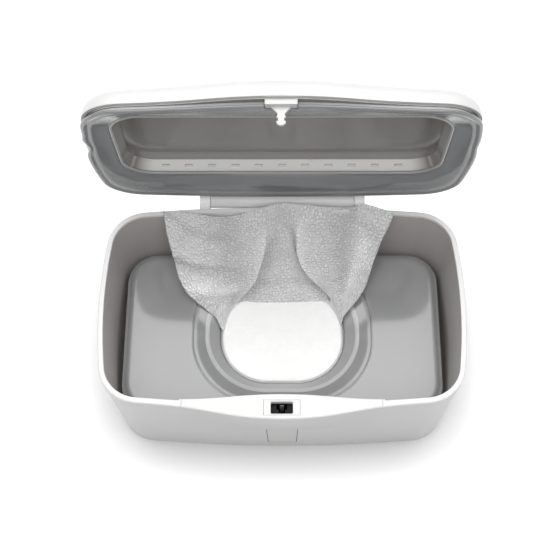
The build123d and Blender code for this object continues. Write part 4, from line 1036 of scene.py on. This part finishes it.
@dataclass
class SmallParts:
    """The recess bead, the lever's rib, the ringed feet and the cross-headed screws."""

    palette: Palette
    bead_size: Pair = (207.2, 93.3)
    bead_middle: Point = (0, -7.95, 98.85)
    bead_corner: float = 21.1
    bead_radius: float = 1.05
    foot_places: Pairs = ((-89.9, -44.2), (89.9, -44.2), (-89.9, 44.2), (89.9, 44.2))
    foot_radius: float = 8.0
    foot_steps: Pairs = ((1.0, -0.6), (1.6, 0.0), (0.5, 0.45), (1.6, 0.0), (0.5, -0.45))
    screw_places: Pairs = ((-14.2, 12), (14.2, 12), (-14.2, 78), (14.2, 78))
    head_radius: float = 1.9
    head_middle_y: float = -61.7
    cross_y: Pair = (-61.8, -60.9)
    cross_arms: Pairs = ((1.2, 0.25), (0.25, 1.2))
    shank_radius: float = 1.0
    shank_middle_y: float = -63.95
    shank_length: float = 3.7

    def recess_bead(self) -> None:
        """A rounded bead along the edge of the lid's recess."""
        place = [value * MM for value in self.bead_middle]
        bpy.ops.object.select_all(action="DESELECT")
        bpy.ops.mesh.primitive_plane_add(size=1.0, location=place)
        settle("recess_bead", (self.bead_size[0] * MM, self.bead_size[1] * MM, 1.0))
        bpy.ops.object.mode_set(mode="EDIT")
        bpy.ops.mesh.select_all(action="SELECT")
        bpy.ops.mesh.bevel(offset=self.bead_corner * MM, segments=16, affect="VERTICES")
        bpy.ops.mesh.select_all(action="SELECT")
        bpy.ops.mesh.delete(type="ONLY_FACE")
        bpy.ops.object.mode_set(mode="OBJECT")
        bpy.ops.object.convert(target="CURVE")
        bead = bpy.context.object
        bead.data.bevel_depth = self.bead_radius * MM
        bead.data.bevel_resolution = 4
        bpy.ops.object.convert(target="MESH")
        bead = bpy.context.object
        bpy.ops.object.shade_smooth()
        bead.data.transform(open_lid_matrix())
        self.place(bead, BEAD_PALE, "lid", "liner_plastic")

    def lever_rib(self) -> None:
        """The stiffening rib on the front of the catch lever."""
        rib = box_piece("lever_rib", (-1.3, 1.3), (-69.3, -68.5), (55.0, 86.6))
        soften(rib, 0.25, 2)
        self.place(rib, RIB_GREY, "button", "latch_plastic")

    def round_bar(
        self, name: str, radius: float, middle: Point, length: float, turn: float = 90.0,
        vertices: int = 32,
    ) -> Piece:
        """A plain round bar in millimetres, along Y unless turned otherwise, to work on."""
        bpy.ops.object.select_all(action="DESELECT")
        bpy.ops.mesh.primitive_cylinder_add(
            vertices=vertices,
            radius=radius * MM,
            depth=length * MM,
            location=[value * MM for value in middle],
            rotation=(math.radians(turn), 0, 0),
        )
        return settle(name)

    def feet(self) -> None:
        """Four pads with a chamfered edge and a raised ring."""
        for number, (x, y) in enumerate(self.foot_places):
            name = f"foot_pad_{number + 1}"
            pad = self.round_bar(name, self.foot_radius, (x, y, 1.3), 1.4, 0.0, 48)
            bpy.ops.object.mode_set(mode="EDIT")
            for inset, lift in self.foot_steps:
                bpy.ops.mesh.select_all(action="DESELECT")
                work = bmesh.from_edit_mesh(pad.data)
                lowest = min(
                    work.faces, key=lambda face: face.calc_center_median().z - len(face.verts)
                )
                lowest.select = True
                bmesh.update_edit_mesh(pad.data)
                bpy.ops.mesh.inset(thickness=inset * MM, depth=0.0)
                bpy.ops.transform.translate(value=(0, 0, lift * MM))
            bpy.ops.object.mode_set(mode="OBJECT")
            soften(pad, 0.15, 2)
            self.place(pad, RUBBER, "tub", "foot_rubber")
        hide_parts("feet")

    def screws(self) -> None:
        """Four screws in the chamber's panel, with a pan head and a cross recess."""
        for number, (x, z) in enumerate(self.screw_places):
            name, middle = f"panel_screw_{number + 1}", (x, self.head_middle_y, z)
            screw = self.round_bar(name, self.head_radius, middle, 1.0)
            soften(screw, 0.35, 4)
            for wide, tall in self.cross_arms:
                arm = box_piece("arm", (x - wide, x + wide), self.cross_y, (z - tall, z + tall))
                combine(screw, arm, Joining.CUT)
            middle = (x, self.shank_middle_y, z)
            shank = self.round_bar("shank", self.shank_radius, middle, self.shank_length)
            soften(shank, 0.4, 2)
            combine(screw, shank, Joining.WELD)
            bpy.ops.object.shade_smooth_by_angle(angle=math.radians(SMOOTH_ANGLE))
            self.place(screw, STEEL, "tub", "steel")
        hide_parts("panel_screws")

    def place(self, piece: Piece, recipe: Recipe, body: str, slot: str) -> None:
        """Dress a new piece and fix it to its body."""
        dress(piece, self.palette.finish(recipe))
        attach(piece, body)

    def build(self) -> None:
        """Make all the small pieces."""
        self.recess_bead()
        self.lever_rib()
        self.feet()
        self.screws()
        log.info("small parts: bead, rib, four feet, four screws")


@dataclass
class Shell:
    """The rigid pieces: tub, latch, lid and weighted plate."""

    palette: Palette

    def dress_nodes(self, nodes: dict[str, Piece]) -> None:
        """Give every CAD node its finish."""
        finishes = {
            TUB_WHITE: ("tub",), COVER_WHITE: ("latch_cover",), BEZEL_WHITE: ("latch_bezel",),
            BUTTON_WHITE: ("release_button",), LATCH_DARK: ("catch_lever",),
            PANEL_GREY: ("chamber_panel",), WHITE: ("lid_shell",), LINER_GREY: ("lid_liner",),
            GASKET_GREY: ("lid_gasket",), STRIKER_WHITE: ("striker",),
            PLATE_GREY: ("plate_cover", "plate_base"), RUBBER: ("feet",),
            STEEL: (
                "plate_weight", "button_pin", "button_spring", "panel_screws", "hinge_pin",
                "lid_spring_left", "lid_spring_right",
            ),
            STACK_CLOTH: ("wipes_stack",), WIPE_CLOTH: ("pulled_wipe",),
        }
        for recipe, names in finishes.items():
            for name in names:
                dress(nodes[name], self.palette.finish(recipe))


@dataclass
class Studio:
    """Camera, floor, world and lamps."""

    camera_place: Point = (0.00355, -0.33295, 0.82109)
    camera_tilt: float = 25.73
    camera_roll: float = 0.00612
    focal_length: float = 77.28
    floor_half: float = 6.0
    floor_z: float = -0.0003
    world_light: float = 0.42

    def set_camera(self) -> None:
        """Place the camera that the photograph was taken from."""
        data = bpy.data.cameras.new("camera")
        data.lens = self.focal_length
        data.sensor_width = 36.0
        data.clip_start = 0.01
        camera = bpy.data.objects.new("camera", data)
        turn = Matrix.Rotation(math.radians(self.camera_tilt), 4, "X")
        turn = turn @ Matrix.Rotation(self.camera_roll, 4, "Y")
        camera.location = self.camera_place
        camera.rotation_euler = turn.to_euler()
        bpy.context.scene.collection.objects.link(camera)
        bpy.context.scene.camera = camera

    def set_floor(self) -> None:
        """Lay a floor that looks white with painted contact shade near the object, throws back less
        light, and is clear from below.
        """
        bpy.ops.object.select_all(action="DESELECT")
        bpy.ops.mesh.primitive_plane_add(size=2 * self.floor_half, location=(0, 0, self.floor_z))
        floor = bpy.context.object
        floor.name = "floor"
        material = bpy.data.materials.new("pale floor")
        nodes = Nodes(material)
        # Painted shade: the occlusion node darkens the floor's colour where the object comes close
        painted_contact_shade = nodes.add(
            "AmbientOcclusion", samples=8, Distance=0.035, Color=(0.92, 0.92, 0.92, 1)
        )
        place = nodes.add("TexCoord").outputs["Object"]
        far = nodes.span(nodes.vector("LENGTH", "Value", place), 0.22, 1.0, 0.3, 1.2)
        seen = nodes.add("BsdfDiffuse", Color=painted_contact_shade.outputs["Color"])
        glow = nodes.add("Emission", Strength=far)
        lit = nodes.join("AddShader", seen.outputs[0], glow.outputs[0])
        thrown = nodes.add("BsdfDiffuse", Color=(0.45, 0.45, 0.45, 1))
        paths = nodes.add("LightPath").outputs
        shown = nodes.math("MAXIMUM", paths["Is Camera Ray"], paths["Is Glossy Ray"])
        shown = nodes.math("MAXIMUM", shown, paths["Is Transmission Ray"])
        above = nodes.blend(shown, thrown, lit)
        below = nodes.add("NewGeometry").outputs["Backfacing"]
        both = nodes.blend(below, above, nodes.add("BsdfTransparent"))
        nodes.add("OutputMaterial", Surface=both.outputs[0])
        dress(floor, material)

    def set_world(self) -> None:
        """Give even light from all sides, and pure white where the surroundings are seen."""
        world = bpy.data.worlds.new("studio")
        bpy.context.scene.world = world
        nodes = Nodes(world)
        seen = nodes.add("Background", Color=(1, 1, 1, 1), Strength=1.0)
        light = nodes.add("Background", Color=(1, 1, 1, 1), Strength=self.world_light)
        paths = nodes.add("LightPath").outputs
        shown = nodes.math("MAXIMUM", paths["Is Camera Ray"], paths["Is Transmission Ray"])
        both = nodes.blend(shown, light, seen)
        nodes.add("OutputWorld", Surface=both.outputs[0])

    def add_softbox(self, name: str, place: Point, aim: Point, size: Pair, power: float) -> None:
        """Hang one rectangular lamp, with its size in metres and its power in watts."""
        data = bpy.data.lights.new(name, "AREA")
        data.shape = "RECTANGLE"
        data.size, data.size_y = size
        data.energy = power
        lamp = bpy.data.objects.new(name, data)
        lamp.location = place
        facing = Vector(aim) - Vector(place)
        lamp.rotation_euler = facing.to_track_quat("-Z", "Y").to_euler()
        bpy.context.scene.collection.objects.link(lamp)

    def set_lamps(self) -> None:
        """Hang the softboxes."""
        self.add_softbox("left key", (-0.66, 0.28, 1.5), (-0.6, 0.25, 0), (0.98, 1.25), 10.2)
        self.add_softbox("right key", (0.66, 0.28, 1.5), (0.6, 0.25, 0), (0.98, 1.25), 10.2)
        self.add_softbox("front box", (0, -0.75, 1.6), (0, 0, 0.08), (1.5, 0.8), 8.0)
        self.add_softbox("left box", (-1.5, -0.2, 0.9), (0, 0, 0.08), (0.9, 0.8), 1.5)
        self.add_softbox("right box", (1.5, -0.2, 0.9), (0, 0, 0.08), (0.9, 0.8), 1.5)

    def build(self) -> None:
        """Set up everything that isn't the object."""
        self.set_camera()
        self.set_floor()
        self.set_world()
        self.set_lamps()
        bpy.context.scene.view_settings.view_transform = "Standard"


def main() -> None:
    """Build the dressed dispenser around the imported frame."""
    logging.basicConfig(level=logging.INFO, format="%(name)s: %(message)s")
    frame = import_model()
    Studio().build()
    palette = Palette()
    Shell(palette).dress_nodes(frame["nodes"])
    log.info("dressed %d nodes", len(frame["nodes"]))
    FoldedStack(palette).build()
    PulledWipe(palette).build()
    LidSeal(palette).build()
    SmallParts(palette).build()


if __name__ == "__main__":
    main()
